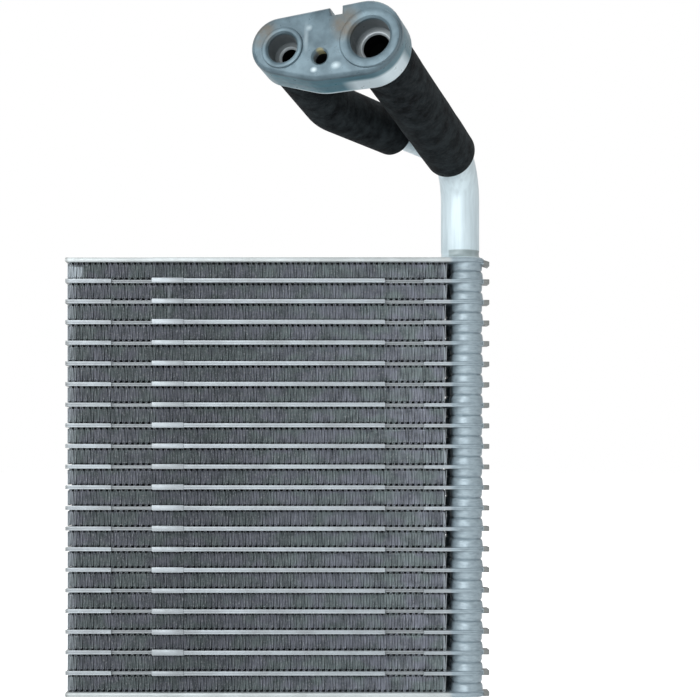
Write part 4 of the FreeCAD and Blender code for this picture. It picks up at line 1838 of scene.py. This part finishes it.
@dataclass
class LiquidSleeve(FoamSleeve):
    """The foam sleeve round the small pipe's turn."""

    inner: float = 6.55 * MM
    outer: float = 11.85 * MM
    corner: float = 1.4 * MM
    segments: int = 64
    tail: float = 60.0 * MM
    run_rings: int = 8
    bend_rings: int = 8
    tail_rings: int = 10

    def place(self, pipe: LiquidPipe, top: float, material: bpy.types.Material) -> None:
        """Build the sleeve.

        Args:
            pipe: The pipe that it goes on.
            top: Height of the plate that the pipes stand on.
            material: Its finish.
        """
        _, (corner, turn, _) = pipe.route(top)
        start = self.start(self.where.liquid)
        radius, _ = pipe.turn
        bench = Bench()
        outside = self.begin(bench, start)
        reach = outside.round_corner(turn, corner, radius, self.bend_rings, self.run_rings)
        outside.run(self.tail - reach - self.corner, steps=self.tail_rings)
        self.end(outside)
        inside = Sweep(bench.bm, start, self.where.inward, self.inner, self.segments)
        inside.round_corner(turn, corner, radius, self.bend_rings)
        inside.run(self.tail - reach)
        self.finish(bench, "liquid_foam", "liquid_foam_sleeve", material)


class Softness(Enum):
    """How large a light is, as the width of its panel."""

    BROAD = 1.4
    MIDDLE = 0.7


@dataclass(frozen=True)
class Lamp:
    """One soft light of the studio."""

    name: str
    place: Triple
    power: float
    softness: Softness
    colour: Colour = (1.0, 1.0, 1.0)

    def set_up(self, target: Vector) -> None:
        """Hang the light and point it.

        Args:
            target: Where it points.
        """
        data = bpy.data.lights.new(self.name, "AREA")
        data.energy = self.power
        data.size = self.softness.value
        data.color = self.colour
        lamp = bpy.data.objects.new(self.name, data)
        bpy.context.scene.collection.objects.link(lamp)
        lamp.location = self.place
        lamp.rotation_euler = (target - lamp.location).to_track_quat("-Z", "Y").to_euler()


@dataclass(frozen=True)
class Glow:
    """A white brightness: as the camera sees it, as it falls on the object, and in the object's shine."""

    seen: float
    felt: float
    mirrored: float

    def strength(self, tree: bpy.types.NodeTree) -> Socket:
        """Build the brightness.

        Args:
            tree: The node tree to build in.

        Returns:
            The brightness for the ray that asks.
        """
        ray = tree.nodes.new("ShaderNodeLightPath")
        total = tree.nodes.new("ShaderNodeMath")
        parts = (("Is Camera Ray", self.felt, self.seen), ("Is Glossy Ray", 0.0, self.mirrored - self.felt))
        for number, (kind, otherwise, hit) in enumerate(parts):
            part = tree.nodes.new("ShaderNodeMapRange")
            part.inputs["To Min"].default_value = otherwise
            part.inputs["To Max"].default_value = hit
            tree.links.new(ray.outputs[kind], part.inputs["Value"])
            tree.links.new(part.outputs["Result"], total.inputs[number])
        return total.outputs[0]


@dataclass
class Studio:
    """The pale floor, the soft light and the camera."""

    floor_size: float = 30.0
    floor_drop: float = 0.05 * MM
    floor_roughness: float = 0.9
    floor_colour: Colour = (0.8, 0.8, 0.8)
    floor_glow: Glow = Glow(0.92, 0.2, 0.6)
    world_glow: Glow = Glow(1.0, 0.32, 0.85)
    target: Triple = (0.0, 0.0, 0.17)
    lamps: tuple[Lamp, ...] = (
        Lamp("key", (-1.05, -1.45, 0.85), 23.0, Softness.BROAD),
        Lamp("front", (-0.25, -1.75, 0.35), 6.5, Softness.MIDDLE, (0.96, 0.98, 1.0)),
        Lamp("top", (0.2, 0.1, 1.6), 6.0, Softness.BROAD),
    )
    picture: int = 700
    focal_pixels: float = 1788.0
    sensor: float = 36.0
    optic_x: float = 277.0
    optic_y: float = 460.0
    clip_start: float = 0.05
    eye: Triple = (-0.35 * MM, -982.5 * MM, 126.2 * MM)

    def build(self) -> None:
        """Set up the whole studio."""
        self.floor()
        self.world()
        for lamp in self.lamps:
            lamp.set_up(Vector(self.target))
        self.camera()
        bpy.context.scene.view_settings.view_transform = "Standard"

    def floor(self) -> None:
        """Lay the pale floor."""
        bench = Bench()
        bmesh.ops.create_grid(bench.bm, x_segments=1, y_segments=1, size=self.floor_size / 2)
        floor = bpy.data.objects.new("floor", bench.mesh("floor"))
        bpy.context.scene.collection.objects.link(floor)
        floor.location.z = -self.floor_drop
        shade = Shade("pale_floor")
        inputs = shade.shader.inputs
        inputs["Base Color"].default_value = (*self.floor_colour, 1.0)
        inputs["Roughness"].default_value = self.floor_roughness
        inputs["Emission Color"].default_value = WHITE
        shade.tree.links.new(self.floor_glow.strength(shade.tree), inputs["Emission Strength"])
        floor.data.materials.append(shade.material)

    def world(self) -> None:
        """Make the surroundings white to look at and dimmer as a source of light."""
        world = bpy.data.worlds.new("studio")
        bpy.context.scene.world = world
        world.use_nodes = True
        background = world.node_tree.nodes["Background"]
        background.inputs["Color"].default_value = WHITE
        strength = self.world_glow.strength(world.node_tree)
        world.node_tree.links.new(strength, background.inputs["Strength"])

    def camera(self) -> None:
        """Set the camera level, where the photograph was taken from."""
        data = bpy.data.cameras.new("camera")
        data.sensor_width = self.sensor
        data.lens = self.focal_pixels / self.picture * self.sensor
        data.shift_x = (self.picture / 2 - self.optic_x) / self.picture
        data.shift_y = (self.optic_y - self.picture / 2) / self.picture
        data.clip_start = self.clip_start
        camera = bpy.data.objects.new("camera", data)
        bpy.context.scene.collection.objects.link(camera)
        camera.location = self.eye
        camera.rotation_euler = (math.pi / 2, 0, 0)
        bpy.context.scene.camera = camera


def main() -> None:
    """Build every piece in order, then the studio."""
    logging.basicConfig(level=logging.INFO, format="%(message)s")
    plate_finish = StampedFinish().material()
    end_finish = StampedFinish("end_aluminium", (0.52, 0.57, 0.58), (0.42, 0.46, 0.465)).material()
    fin_finish = FinFinish().material()
    foam_finish = FoamFinish().material()

    pairs = PlatePair()
    fins = FinStrip()
    rows = sum(1 for name in frame["nodes"] if name.startswith("fin_"))
    for row in range(1, rows + 1):
        fins.place(row, fin_finish)
    for row in range(1, rows):
        pairs.place(row, plate_finish)
    end = EndPlate()
    end.place("bottom_end_plate", False, end_finish)
    end.place("top_end_plate", True, end_finish)

    where = BlockFrame()
    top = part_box("top_end_plate")[1].z
    pipe_finish = DrawnFinish().material(top, where.local)
    liquid = LiquidPipe(where)
    ConnectionBlock(where).place(MachinedFinish().material(where.local))
    SuctionPipe(where).place(top, pipe_finish)
    liquid.place(top, pipe_finish)
    SuctionSleeve(where).place(foam_finish)
    LiquidSleeve(where).place(liquid, top, foam_finish)
    Studio().build()


if __name__ == "__main__":
    main()
